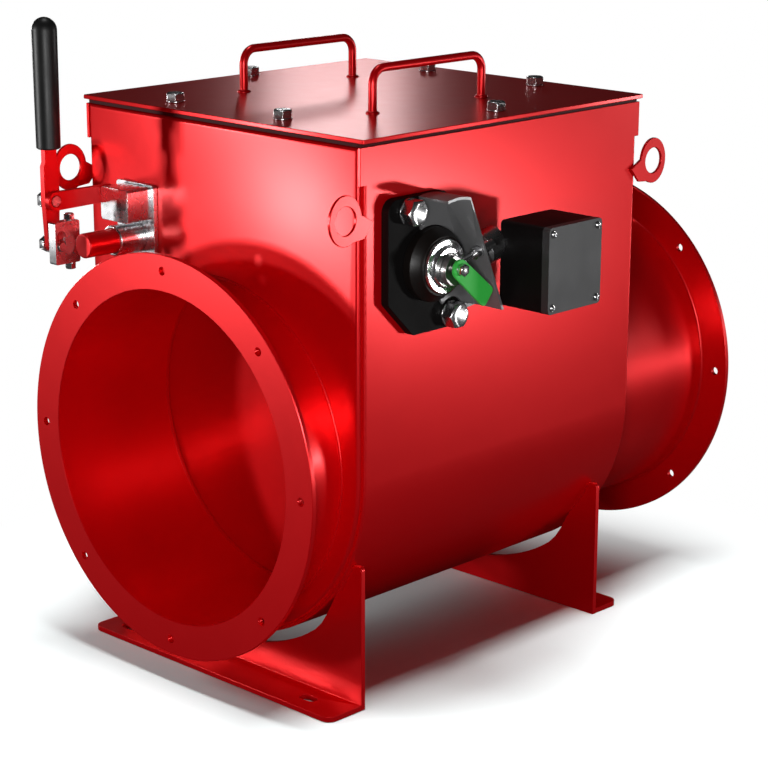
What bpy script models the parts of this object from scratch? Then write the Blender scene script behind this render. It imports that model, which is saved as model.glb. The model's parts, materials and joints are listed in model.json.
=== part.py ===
# Non-return flap valve for a round duct: casing, flap, bearings, position switch and hand latch.
import math

import bmesh
import bpy
from mathutils import Matrix, Vector

# duct connection
bore_radius = 0.159
tube_wall = 0.002
flange_width = 0.034
flange_thick = 0.005
bolt_circle_out = 0.019
flange_hole_radius = 0.0042
flange_hole_count = 8
inlet_length = 0.0675
outlet_length = 0.1595

# casing
casing_side_room = 0.026
belly_clearance = 0.037
casing_sheet = 0.003
shell_half_length = 0.1873
plate_proud = 0.0072
plate_rim = 0.020
bend_radius = 0.004
casing_head_room = 0.1449
ear_height = 0.0336

# lifting lugs
lug_width = 0.039
lug_height = 0.045
lug_center_out = 0.0282
lug_center_drop = 0.0602
lug_hole_radius = 0.0128
lug_tail_in = 0.0066
lug_tail_drop = 0.005
lug_foot_out = 0.006
lug_foot_drop = 0.0187

# lid
lid_overhang_x = 0.004
lid_overhang_y = 0.0005
lid_thick = 0.004
lid_corner = 0.002
gasket_thick = 0.003
frame_width = 0.034
frame_thick = 0.005
lid_bolt_radius = 0.004
lid_bolt_flats = 0.016
lid_bolt_head = 0.009
lid_bolt_pitch = 0.146
lid_bolt_front_x = -0.0155
lid_bolt_rear_x = 0.003
lid_bolt_edge_in = 0.0305
lid_bolt_left_in = 0.013
lid_bolt_right_in = 0.025
lid_bolt_side_y = 0.010

# handles on the lid
handle_span = 0.150
handle_height = 0.041
handle_rod_radius = 0.0041
handle_bend = 0.014
handle_left = (-0.094, 0.003)
handle_right = (0.090, -0.007)

# legs
leg_left_in = 0.025
leg_right_in = 0.0085
leg_thick = 0.005
front_leg_in = 0.0027
rear_leg_in = 0.0323
front_foot_length = 0.042
rear_foot_length = 0.037
leg_top_drop = 0.082
saddle_gap = 0.011
saddle_gap_angle = 50
foot_slot_in = 0.032

# flap and its seat
seat_in = 0.0702
seat_tilt = 4
shaft_behind_seat = 0.0073
shaft_above_bore = 0.034
shaft_radius = 0.0125
seal_thick = 0.004
seal_width = 0.0086
disc_thick = 0.004
disc_overlap = 0.007
arm_x = 0.060
arm_width = 0.026
arm_thick = 0.008

# bearings
bearing_plate_width = 0.104
bearing_plate_height = 0.126
bearing_plate_thick = 0.009
bearing_corner_cut = 0.032
hub_radius = 0.034
hub_length = 0.0175
bearing_bolt_y = 0.0275
bearing_bolt_z = 0.0505
bearing_bolt_flats = 0.022
bearing_bolt_head = 0.014
collar_wide_radius = 0.025
collar_radius = 0.019
collar_length = 0.0068

# position switch
cam_small_radius = 0.011
cam_rise = 0.005
cam_thick = 0.006
flap_opening = 65
flag_length = 0.050
flag_width = 0.020
flag_thick = 0.003
flag_angle = -40
flag_corner = 0.004
band_radius = 0.064
band_sheet = 0.0025
band_start = 103
band_end = 76
band_depth = 0.035
band_corner_y = 0.0622
band_corner_z = -0.047
box_standoff = 0.0272
box_x = 0.057
box_y = 0.074
box_z = 0.079
box_offset_y = 0.0646
box_top_z = 0.034
cover_thick = 0.008
rod_radius = 0.0025
rod_clearance = 0.0006
rod_length = 0.044
rod_angle = 15
neck_radius = 0.0055
neck_start = 0.018
head_start = 0.036
head_radius = 0.016
head_shift_x = -0.010
head_shift_up = -0.006

# hand latch
latch_side_in = 0.0763
latch_drop = 0.008
plunger_radius = 0.0118
plunger_face_out = 0.0701
plunger_tip_in = 0.0185
sleeve_wall = 0.0025
sleeve_length = 0.0355
latch_arm_root_out = 0.0175
latch_pin_out = 0.0855
latch_pin_radius = 0.004
latch_pin_slack = 0.0009
latch_arm_reach = 0.042
latch_turn = 40
latch_arm_thick = 0.0055
lever_thick = 0.006
lever_width = 0.0175
lever_gap_x = 0.0263
grip_radius = 0.0118
grip_above_pivot = 0.0485
grip_length = 0.121
latch_block_out = 0.0335
latch_body_left = 0.024
latch_body_right = 0.022
latch_body_edge = 0.004
latch_body_down = 0.024
latch_body_up = 0.052
latch_base_thick = 0.005
clevis_gap_x = 0.0218
clevis_thick = 0.0097
clevis_front_out = 0.0925
clevis_rear_out = 0.0638
clevis_drop = 0.017
clevis_height = 0.040
clamp_bolt_out = 0.072
clamp_bolt_head = 0.0065

# fits
gap = 0.0003
hole_slack = 0.0005

# places that follow from the sizes above
flange_radius = bore_radius + flange_width
bolt_circle_radius = bore_radius + bolt_circle_out
casing_half_width = bore_radius + casing_side_room
axis_z = casing_half_width + belly_clearance
casing_top_z = axis_z + bore_radius + casing_head_room
ear_bottom_z = casing_top_z - ear_height
plate_face_y = shell_half_length + plate_proud
inlet_face_y = -(plate_face_y + inlet_length)
outlet_face_y = plate_face_y + outlet_length
lug_center_z = casing_top_z - lug_center_drop
lid_half_x = casing_half_width + lid_overhang_x
lid_half_y = plate_face_y + lid_overhang_y
leg_left = casing_half_width - leg_left_in
leg_right = casing_half_width - leg_right_in
leg_top_z = axis_z - leg_top_drop
foot_slot_x = leg_left - foot_slot_in
front_leg_y = -(shell_half_length - front_leg_in)
rear_leg_y = shell_half_length - rear_leg_in
seat_y = -(plate_face_y - seat_in)
shaft_y = seat_y + shaft_behind_seat
shaft_z = axis_z + bore_radius + shaft_above_bore
latch_x = -(casing_half_width - latch_side_in)
latch_z = shaft_z - latch_drop
plunger_face_y = -(plate_face_y + plunger_face_out)
plunger_tip_y = -(plate_face_y - plunger_tip_in)
sleeve_end_y = -(plate_face_y + sleeve_length)
latch_arm_root_y = -(plate_face_y + latch_arm_root_out)
latch_pin_y = -(plate_face_y + latch_pin_out)
latch_block_y = -(plate_face_y + latch_block_out)
grip_bottom_z = latch_z + latch_arm_reach + grip_above_pivot
clevis_start_x = latch_x - clevis_gap_x
clevis_front_y = -(plate_face_y + clevis_front_out)
clevis_rear_y = -(plate_face_y + clevis_rear_out)
clamp_bolt_y = -(plate_face_y + clamp_bolt_out)


def paint(name, colour, roughness, metallic):
    """One plain surface finish."""
    material = bpy.data.materials.new(name)
    material.use_nodes = True
    shader = material.node_tree.nodes["Principled BSDF"]
    shader.inputs["Base Color"].default_value = (*colour, 1.0)
    shader.inputs["Roughness"].default_value = roughness
    shader.inputs["Metallic"].default_value = metallic
    return material


def circle(radius, count, centre=(0.0, 0.0), start=0.0):
    """Points of a full circle in a plane, anticlockwise."""
    turns = [start + 2 * math.pi * i / count for i in range(count)]
    return [(centre[0] + radius * math.cos(t), centre[1] + radius * math.sin(t)) for t in turns]


def arc(centre, radius, start, end, steps):
    """Points along an arc, angles in degrees, both ends included."""
    turns = [math.radians(start + (end - start) * i / steps) for i in range(steps + 1)]
    return [(centre[0] + radius * math.cos(t), centre[1] + radius * math.sin(t)) for t in turns]


def rounded(corners, radii, steps=5):
    """A closed outline whose corners, given anticlockwise, are rounded with their own radii."""
    points = []
    count = len(corners)
    for i, (corner, radius) in enumerate(zip(corners, radii)):
        here = Vector(corner)
        back = (Vector(corners[i - 1]) - here).normalized()
        ahead = (Vector(corners[(i + 1) % count]) - here).normalized()
        if radius <= 0:
            points.append(tuple(here))
            continue
        half = back.angle(ahead) / 2
        middle = here + (back + ahead).normalized() * radius / math.sin(half)
        first = here + back * radius / math.tan(half) - middle
        last = here + ahead * radius / math.tan(half) - middle
        sweep = first.angle_signed(last)
        for k in range(steps + 1):
            turn = -sweep * k / steps
            points.append((middle.x + first.x * math.cos(turn) - first.y * math.sin(turn),
                           middle.y + first.x * math.sin(turn) + first.y * math.cos(turn)))
    return points


def box_outline(u0, v0, u1, v1, radius=0.0, steps=4):
    return rounded([(u0, v0), (u1, v0), (u1, v1), (u0, v1)], [radius] * 4, steps)


def in_plane(axis, level):
    """A function that lifts a flat point to a plane square to the axis."""
    lifts = {"x": lambda p: (level, p[0], p[1]),
             "y": lambda p: (p[0], level, p[1]),
             "z": lambda p: (p[0], p[1], level)}
    return lifts[axis]


def add_loop(bm, points):
    verts = [bm.verts.new(p) for p in points]
    edges = [bm.edges.new((verts[i], verts[(i + 1) % len(verts)])) for i in range(len(verts))]
    return verts, edges


def fill(bm, loops):
    """Fill an outer loop, with any inner loops left open as holes."""
    edges = [edge for _, loop_edges in loops for edge in loop_edges]
    bmesh.ops.triangle_fill(bm, edges=edges, use_beauty=True, use_dissolve=False)


def wall(bm, first, second, closed=True):
    """Quads between two loops with the same number of points."""
    count = len(first)
    for i in range(count if closed else count - 1):
        j = (i + 1) % count
        bm.faces.new((first[i], first[j], second[j], second[i]))


def finish(bm, name, material, smooth=None, place=(0.0, 0.0, 0.0)):
    """Close the mesh off, turn it outwards and put it in the scene under its own name."""
    bmesh.ops.remove_doubles(bm, verts=bm.verts, dist=1e-6)
    bmesh.ops.recalc_face_normals(bm, faces=bm.faces)
    mesh = bpy.data.meshes.new(name)
    bm.to_mesh(mesh)
    bm.free()
    mesh.materials.append(material)
    thing = bpy.data.objects.new(name, mesh)
    bpy.context.collection.objects.link(thing)
    mesh.transform(Matrix.Translation(-Vector(place)))
    thing.location = place
    if smooth:
        mesh.shade_smooth()
        mesh.set_sharp_from_angle(angle=math.radians(smooth))
    return thing


def plate(name, axis, low, high, outline, holes, material, smooth=30, place=(0.0, 0.0, 0.0)):
    """A flat plate square to an axis, with holes through it."""
    bm = bmesh.new()
    for_side = []
    for level in (low, high):
        lift = in_plane(axis, level)
        loops = [add_loop(bm, [lift(p) for p in loop]) for loop in [outline] + holes]
        fill(bm, loops)
        for_side.append(loops)
    for (first, _), (second, _) in zip(*for_side):
        wall(bm, first, second)
    return finish(bm, name, material, smooth, place)


def loft(name, rings, material, smooth=30, place=(0.0, 0.0, 0.0), capped=True):
    """A skin over rings with equal point counts; open-ended lofts close on themselves."""
    bm = bmesh.new()
    loops = [[bm.verts.new(p) for p in ring] for ring in rings]
    for first, second in zip(loops, loops[1:]):
        wall(bm, first, second)
    if capped:
        bm.faces.new(loops[0])
        bm.faces.new(loops[-1])
    else:
        wall(bm, loops[-1], loops[0])
    return finish(bm, name, material, smooth, place)


def turned(name, axis, centre, profile, material, count=32, smooth=30, place=(0.0, 0.0, 0.0), capped=True):
    """A turned piece: (level, radius) steps along an axis; not capped, the profile closes into a ring."""
    rings = [[in_plane(axis, level)(p) for p in circle(radius, count, centre)] for level, radius in profile]
    return loft(name, rings, material, smooth, place, capped)


def hexagon(across_flats, count, centre):
    """A hexagon drawn with the same number of points as a circle, so that the two can be lofted."""
    points = []
    for i in range(count):
        turn = 2 * math.pi * i / count
        off = (turn + math.pi / 6) % (math.pi / 3) - math.pi / 6
        reach = across_flats / 2 / math.cos(off)
        points.append((centre[0] + reach * math.cos(turn), centre[1] + reach * math.sin(turn)))
    return points


def hex_bolt(name, axis, centre, base, side, flats, head, shank_radius, shank_length, material,
             place=(0.0, 0.0, 0.0)):
    """A hexagon bolt with a washer face, its head standing on the base level."""
    count = 12
    washer = flats * 0.56
    step = base + side * head * 0.15
    steps = []
    if shank_length:
        steps = [(base - side * shank_length, shank_radius, False), (base, shank_radius, False)]
    steps += [(base, washer, False), (step, washer, False), (step, flats, True),
              (base + side * head * 0.9, flats, True), (base + side * head, flats * 0.42, False)]
    rings = []
    for level, size, six in steps:
        points = hexagon(size, count, centre) if six else circle(size, count, centre)
        rings.append([in_plane(axis, level)(p) for p in points])
    return loft(name, rings, material, 20, place)


def cap_screw(name, axis, centre, base, side, radius, head, shank_radius, shank_length, material):
    """A small round-headed screw."""
    profile = [(base - side * shank_length, shank_radius), (base, shank_radius), (base, radius),
               (base + side * head * 0.6, radius), (base + side * head, radius * 0.7)]
    return turned(name, axis, centre, profile, material, 12)


def swept(name, points, radius, material, count=12):
    """A round bar along a path."""
    path = [Vector(p) for p in points]
    rings = []
    for i, here in enumerate(path):
        back = path[max(i - 1, 0)]
        ahead = path[min(i + 1, len(path) - 1)]
        along = (ahead - back).normalized()
        side = Vector((1, 0, 0))
        up = along.cross(side).normalized()
        stretch = 1.0
        if 0 < i < len(path) - 1:
            stretch = 1.0 / math.cos((here - back).angle(ahead - here) / 2)
        ring = [here + side * radius * math.cos(t) + up * radius * math.sin(t) * stretch
                for t in [2 * math.pi * k / count for k in range(count)]]
        rings.append([tuple(p) for p in ring])
    return loft(name, rings, material, 40)


def boolean(target, cutter, operation="DIFFERENCE"):
    """Cut or join with a hidden helper that stays editable."""
    cutter.hide_render = True
    cutter.display_type = "WIRE"
    modifier = target.modifiers.new(cutter.name, "BOOLEAN")
    modifier.operation = operation
    modifier.solver = "EXACT"
    modifier.object = cutter


def u_outline(half_width, top, steps=28):
    """A casing section: flat sides, half-round bottom, straight top."""
    bottom = arc((0.0, axis_z), half_width, 180, 360, steps)
    return [(-half_width, top)] + bottom + [(half_width, top)]


def casing_shell(material):
    """The side sheet: two walls with top ears, joined by a half-round belly in one bent sheet."""
    bm = bmesh.new()
    out = casing_half_width
    inn = out - casing_sheet
    half = shell_half_length
    ear = plate_face_y
    wall_line = [(-half, axis_z), (half, axis_z), (half, ear_bottom_z), (ear, ear_bottom_z),
                 (ear, casing_top_z),
                 (-ear, casing_top_z), (-ear, ear_bottom_z), (-half, ear_bottom_z)]
    shaft_hole = circle(shaft_radius + 0.004, 24, (shaft_y, shaft_z))
    for side in (-1, 1):
        faces = []
        for x in (out, inn):
            lift = in_plane("x", side * x)
            loops = [add_loop(bm, [lift(p) for p in loop]) for loop in (wall_line, shaft_hole)]
            fill(bm, loops)
            faces.append(loops)
        outer, inner = faces[0][0][0], faces[1][0][0]
        wall(bm, outer[1:] + outer[:1], inner[1:] + inner[:1], closed=False)
        wall(bm, faces[0][1][0], faces[1][1][0])
    belly = [arc((0.0, axis_z), r, 180, 360, 40) for r in (out, inn)]
    rows = [[bm.verts.new((x, y, z)) for x, z in line] for line in belly for y in (-half, half)]
    wall(bm, rows[0], rows[1], closed=False)
    wall(bm, rows[2], rows[3], closed=False)
    wall(bm, rows[0], rows[2], closed=False)
    wall(bm, rows[1], rows[3], closed=False)
    return finish(bm, "casing_shell", material, 30)


def end_plate(name, side, holes, material):
    """A dished end plate that slips into the side sheet: flat face, bent edge, rim turned inwards."""
    bm = bmesh.new()
    out = casing_half_width - casing_sheet - gap
    top = casing_top_z - gap
    turns = [math.pi / 2 * k / 4 for k in range(5)]
    rows = [(bend_radius * (1 - math.sin(t)), bend_radius * (1 - math.cos(t))) for t in turns]
    rows.append((0.0, plate_rim))
    rows.append((casing_sheet, plate_rim))
    rows.append((casing_sheet, casing_sheet))
    loops = []
    for inset, depth in rows:
        lift = in_plane("y", side * (plate_face_y - depth))
        loops.append(add_loop(bm, [lift(p) for p in u_outline(out - inset, top - inset)]))
    for (first, _), (second, _) in zip(loops, loops[1:]):
        wall(bm, first, second)
    outside = in_plane("y", side * plate_face_y)
    inside = in_plane("y", side * (plate_face_y - casing_sheet))
    outer_holes = [add_loop(bm, [outside(p) for p in hole]) for hole in holes]
    inner_holes = [add_loop(bm, [inside(p) for p in hole]) for hole in holes]
    fill(bm, [loops[0]] + outer_holes)
    fill(bm, [loops[-1]] + inner_holes)
    for (first, _), (second, _) in zip(outer_holes, inner_holes):
        wall(bm, first, second)
    return finish(bm, name, material, 30)


def tube(name, start, end, tilt, material):
    """A duct stub; its inner end can be cut at a tilt, which makes the flap's seat."""
    count = 64
    slope = math.tan(math.radians(tilt))
    rings = []
    for radius, level, lean in ((bore_radius, start, 0), (bore_radius + tube_wall, start, 0),
                                (bore_radius + tube_wall, end, slope), (bore_radius, end, slope)):
        rings.append([(x, level - z * lean, axis_z + z) for x, z in circle(radius, count)])
    return loft(name, rings, material, 30, capped=False)


def flange(name, face, side, material):
    """A flat ring with its bolt holes, its sealing face outwards."""
    holes = [circle(bore_radius + tube_wall + gap, 64, (0.0, axis_z))]
    for x, z in circle(bolt_circle_radius, flange_hole_count, (0.0, axis_z)):
        holes.append(circle(flange_hole_radius, 12, (x, z)))
    low, high = sorted((face, face - side * flange_thick))
    return plate(name, "y", low, high, circle(flange_radius, 64, (0.0, axis_z)), holes, material)


def lifting_lug(name, side_x, side_y, material):
    """An oval plate with one eye, held on the outside of the side sheet by a slanted tail."""
    middle = side_y * (shell_half_length + lug_center_out)
    turns = [math.radians(8 + 290 * i / 28) for i in range(29)]
    oval = [(lug_width / 2 * math.cos(t), lug_height / 2 * math.sin(t)) for t in turns]
    tail = [(lug_center_out - lug_foot_out, -lug_foot_drop), (lug_center_out + lug_tail_in, -lug_tail_drop)]
    outline = [(middle - side_y * inward, lug_center_z + up) for inward, up in oval + tail]
    eye = circle(lug_hole_radius, 24, (middle, lug_center_z))
    start = casing_half_width + gap
    inner, outer = sorted((side_x * start, side_x * (start + casing_sheet)))
    return plate(name, "x", inner, outer, outline, [eye], material)


def lid_bolt_places():
    """Six lid bolts: two along the front, two along the rear, one near the middle of each side."""
    half = lid_bolt_pitch / 2
    edge_y = lid_half_y - lid_bolt_edge_in
    left_x = -(casing_half_width - lid_bolt_left_in)
    right_x = casing_half_width - lid_bolt_right_in
    return [("front_left", lid_bolt_front_x - half, -edge_y),
            ("front_right", lid_bolt_front_x + half, -edge_y),
            ("rear_left", lid_bolt_rear_x - half, edge_y), ("rear_right", lid_bolt_rear_x + half, edge_y),
            ("left", left_x, lid_bolt_side_y), ("right", right_x, lid_bolt_side_y)]


def lid_group(red, rubber, steel):
    """The bolting frame inside the casing, the gasket, the lid, its bolts and its two handles."""
    places = lid_bolt_places()
    frame_x = casing_half_width - casing_sheet - gap
    frame_y = plate_face_y - plate_rim - gap
    gasket_low = casing_top_z + gap
    lid_low = gasket_low + gasket_thick + gap
    lid_high = lid_low + lid_thick
    frame_holes = [circle(lid_bolt_radius + hole_slack, 12, (x, y)) for _, x, y in places]
    inner_x = frame_x - frame_width
    inner_y = frame_y - frame_width
    window = box_outline(-inner_x, -inner_y, inner_x, inner_y, 0.012)
    plate("lid_frame", "z", casing_top_z - frame_thick, casing_top_z,
          box_outline(-frame_x, -frame_y, frame_x, frame_y, 0.002), [window] + frame_holes, red)
    seal_x = casing_half_width - 0.001
    seal_y = plate_face_y - 0.001
    plate("lid_gasket", "z", gasket_low, gasket_low + gasket_thick,
          box_outline(-seal_x, -seal_y, seal_x, seal_y, 0.004), [window] + frame_holes, rubber)
    sheet = box_outline(-lid_half_x, -lid_half_y, lid_half_x, lid_half_y, lid_corner, 3)
    plate("lid", "z", lid_low, lid_high, sheet, frame_holes, red)
    shank = lid_thick + gasket_thick + frame_thick + 0.005
    for name, x, y in places:
        hex_bolt("lid_bolt_" + name, "z", (x, y), lid_high + gap, 1, lid_bolt_flats, lid_bolt_head,
                 lid_bolt_radius, shank, steel)
    foot = lid_high + gap
    crown = lid_high + handle_height
    half = handle_span / 2
    for name, (middle_x, middle_y) in (("lid_handle_left", handle_left), ("lid_handle_right", handle_right)):
        bends = arc((-half + handle_bend, crown - handle_bend), handle_bend, 180, 90, 6)
        bends += arc((half - handle_bend, crown - handle_bend), handle_bend, 90, 0, 6)
        line = [(-half, foot)] + bends + [(half, foot)]
        swept(name, [(middle_x, middle_y + y, z) for y, z in line], handle_rod_radius, red)


def leg(name, front_y, side, foot_length, material):
    """A folded saddle plate: horns that hold the casing over a narrow crescent gap, and a foot."""
    touch = casing_half_width + gap
    horn = math.asin((axis_z - leg_top_z) / touch)
    start, end = [math.degrees(max(horn, math.acos(min(1.0, reach / touch))))
                  for reach in (leg_left, leg_right)]
    steps = 36
    line = []
    for i in range(steps + 1):
        turn = -180 + start + (180 - start - end) * i / steps
        inside = min(1.0, max(0.0, (saddle_gap_angle - abs(turn + 90)) / 12))
        reach = touch + (saddle_gap - gap) * inside
        line.append((reach * math.cos(math.radians(turn)), axis_z + reach * math.sin(math.radians(turn))))
    upright = list(line)
    if leg_right > line[-1][0] + 0.004:
        upright += rounded([line[-1], (leg_right, leg_top_z), (leg_right, leg_thick)], [0, 0.004, 0])[1:-1]
    upright += [(leg_right, 0.0), (-leg_left, 0.0)]
    if leg_left > 0.004 - line[0][0]:
        upright += rounded([(-leg_left, leg_thick), (-leg_left, leg_top_z), line[0]], [0, 0.004, 0])[1:-1]
    far_y = front_y + leg_thick
    body = plate(name, "y", front_y, far_y, upright, [], material)
    outer = front_y if side < 0 else far_y
    y0, y1 = sorted((front_y + leg_thick / 2, outer + side * foot_length))
    radii = [0.010, 0.010, 0.0, 0.0] if side < 0 else [0.0, 0.0, 0.010, 0.010]
    outline = rounded([(-leg_left, y0), (leg_right, y0), (leg_right, y1), (-leg_left, y1)], radii)
    slots = []
    middle = outer + side * foot_length * 0.5
    for x in (-foot_slot_x, foot_slot_x):
        slots.append(box_outline(x - 0.010, middle - 0.0055, x + 0.010, middle + 0.0055, 0.0054, 4))
    foot = plate(name + "_foot_helper", "z", 0.0, leg_thick, outline, slots, material)
    boolean(body, foot, "UNION")
    return body


def flange_bearing(tag, side, black, steel):
    """Flanged bearing on the side wall: its plate, its housing and two bolts."""
    start = casing_half_width + gap
    face = start + bearing_plate_thick
    y0, y1 = shaft_y - bearing_plate_width / 2, shaft_y + bearing_plate_width / 2
    z0, z1 = shaft_z - bearing_plate_height / 2, shaft_z + bearing_plate_height / 2
    cut = bearing_corner_cut
    corners = [(y0 + cut, z0), (y1, z0), (y1, z1 - cut), (y1 - cut, z1), (y0, z1), (y0, z0 + cut)]
    outline = rounded(corners, [0.006, 0.012, 0.006, 0.006, 0.012, 0.006])
    bolts = [(shaft_y - bearing_bolt_y, shaft_z + bearing_bolt_z),
             (shaft_y + bearing_bolt_y, shaft_z - bearing_bolt_z)]
    holes = [circle(0.006 + hole_slack, 12, spot) for spot in bolts]
    holes.append(circle(shaft_radius + hole_slack, 32, (shaft_y, shaft_z)))
    low, high = sorted((side * start, side * face))
    plate("bearing_plate_" + tag, "x", low, high, outline, holes, black)
    base = face + gap
    bore = shaft_radius + hole_slack
    profile = [(base, bore), (base, hub_radius), (base + hub_length * 0.45, hub_radius),
               (base + hub_length * 0.8, hub_radius * 0.84), (base + hub_length, hub_radius * 0.80),
               (base + hub_length, hub_radius * 0.66), (base + hub_length * 0.8, hub_radius * 0.60),
               (base + hub_length * 0.8, bore)]
    profile = [(side * level, radius) for level, radius in profile]
    turned("bearing_housing_" + tag, "x", (shaft_y, shaft_z), profile, black, 40, capped=False)
    for word, spot in zip(("upper", "lower"), bolts):
        hex_bolt("bearing_bolt_%s_%s" % (tag, word), "x", spot, side * (face + gap), side, bearing_bolt_flats,
                 bearing_bolt_head, 0.006, bearing_plate_thick - 0.001, steel)
    return face


def cam_profile(turn):
    """Cam radius at an angle from the switch rod, measured against the flap's opening turn."""
    turn = turn % 360
    back = (-turn) % 360
    if back <= flap_opening + 15:
        return cam_small_radius + cam_rise * back / flap_opening
    top = cam_small_radius + cam_rise * (flap_opening + 15) / flap_opening
    fall = (back - flap_opening - 15) / (360 - flap_opening - 15)
    return top + (cam_small_radius - top) * min(1.0, fall * 2.0)


def flap_group(red, rubber, steel, chrome, green):
    """Everything that turns with the flap's shaft."""
    pivot = (0.0, shaft_y, shaft_z)
    face = casing_half_width + gap + bearing_plate_thick + gap
    hub_face = face + hub_length
    collar_start = hub_face + gap
    collar_step = collar_start + collar_length * 0.42
    collar_end = hub_face + collar_length
    cam_start = collar_end + gap
    flag_start = face + band_depth + gap
    stub = flag_start + flag_thick + gap
    left_end = -(hub_face + 0.004)
    stub_radius = 0.005
    profile = [(left_end, shaft_radius - 0.0015), (left_end + 0.0015, shaft_radius),
               (collar_end, shaft_radius), (collar_end, stub_radius), (stub - gap, stub_radius)]
    turned("flap_shaft", "x", (shaft_y, shaft_z), profile, steel, 32, place=pivot)
    bore = shaft_radius + gap
    collar = [(collar_start, bore), (collar_start, collar_wide_radius),
              (collar_step, collar_wide_radius * 0.97),
              (collar_step, collar_radius), (collar_end, collar_radius * 0.93), (collar_end, bore)]
    turned("shaft_collar", "x", (shaft_y, shaft_z), collar, chrome, 32, place=pivot, capped=False)

    steps = 48
    outline = []
    for i in range(steps):
        turn = 360 * i / steps
        radius = cam_profile(turn - rod_angle)
        swing = math.radians(turn)
        outline.append((shaft_y + radius * math.cos(swing), shaft_z + radius * math.sin(swing)))
    plate("trip_cam", "x", cam_start, cam_start + cam_thick, outline,
          [circle(stub_radius + gap, 16, (shaft_y, shaft_z))], steel, place=pivot)

    aim = math.radians(flag_angle)
    along = Vector((math.cos(aim), math.sin(aim)))
    across = Vector((-math.sin(aim), math.cos(aim)))
    centre = Vector((shaft_y, shaft_z))
    half = flag_width / 2
    tip = flag_length - flag_corner
    flat = arc((tip, flag_corner - half), flag_corner, -90, 0, 3)
    flat += arc((tip, half - flag_corner), flag_corner, 0, 90, 3)
    flat += arc((0.0, 0.0), half * 0.92, 90, 270, 8)
    outline = [tuple(centre + along * u + across * v) for u, v in flat]
    plate("position_flag", "x", flag_start, flag_start + flag_thick, outline,
          [circle(stub_radius + gap, 16, (shaft_y, shaft_z))], green, place=pivot)
    hex_bolt("flag_screw", "x", (shaft_y, shaft_z), stub, 1, 0.010, 0.005, 0.004, 0.0, chrome, place=pivot)

    tilt = math.radians(seat_tilt)
    down = Vector((0.0, math.sin(tilt), -math.cos(tilt)))
    out = Vector((0.0, math.cos(tilt), math.sin(tilt)))
    middle = Vector((0.0, seat_y, axis_z))

    def tilted(radius, depth, count=64):
        return [tuple(middle + Vector((x, 0.0, 0.0)) - down * z + out * depth)
                for x, z in circle(radius, count)]

    edge = bore_radius + tube_wall + disc_overlap
    seal_low = gap
    seal_high = seal_low + seal_thick
    inner = edge - seal_width
    rings = [tilted(inner, seal_low), tilted(edge, seal_low), tilted(edge, seal_high),
             tilted(inner, seal_high)]
    loft("flap_seal", rings, rubber, 30, pivot, capped=False)
    disc_low = seal_high + gap
    disc_high = disc_low + disc_thick
    rings = [tilted(edge - 0.001, disc_low), tilted(edge, disc_low + 0.001), tilted(edge, disc_high - 0.001),
             tilted(edge - 0.001, disc_high)]
    loft("flap_disc", rings, red, 30, pivot)

    to_shaft = Vector(pivot) - middle
    rise = -to_shaft.dot(down)
    depth = to_shaft.dot(out)
    arm_low = disc_high + gap
    ring = shaft_radius + 0.006
    for tag, side in (("left", -1), ("right", 1)):
        low, high = sorted((side * (arm_x - arm_width / 2), side * (arm_x + arm_width / 2)))
        eye = circle(shaft_radius + gap, 32, (depth, rise))
        bottom = -edge * 0.55
        outline = [(arm_low, bottom), (arm_low + 0.004, bottom), (arm_low + arm_thick, bottom + 0.03),
                   (arm_low + arm_thick, rise - ring * 1.25)]
        outline += arc((depth, rise), ring, -30, 215, 16)
        outline += [(arm_low, edge + 0.002)]
        bm = bmesh.new()
        levels = []
        for x in (low, high):
            lift = [tuple(middle + Vector((x, 0.0, 0.0)) - down * v + out * u) for u, v in outline]
            hole = [tuple(middle + Vector((x, 0.0, 0.0)) - down * v + out * u) for u, v in eye]
            loops = [add_loop(bm, lift), add_loop(bm, hole)]
            fill(bm, loops)
            levels.append(loops)
        for (first, _), (second, _) in zip(*levels):
            wall(bm, first, second)
        finish(bm, "flap_arm_" + tag, red, 30, pivot)


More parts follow.
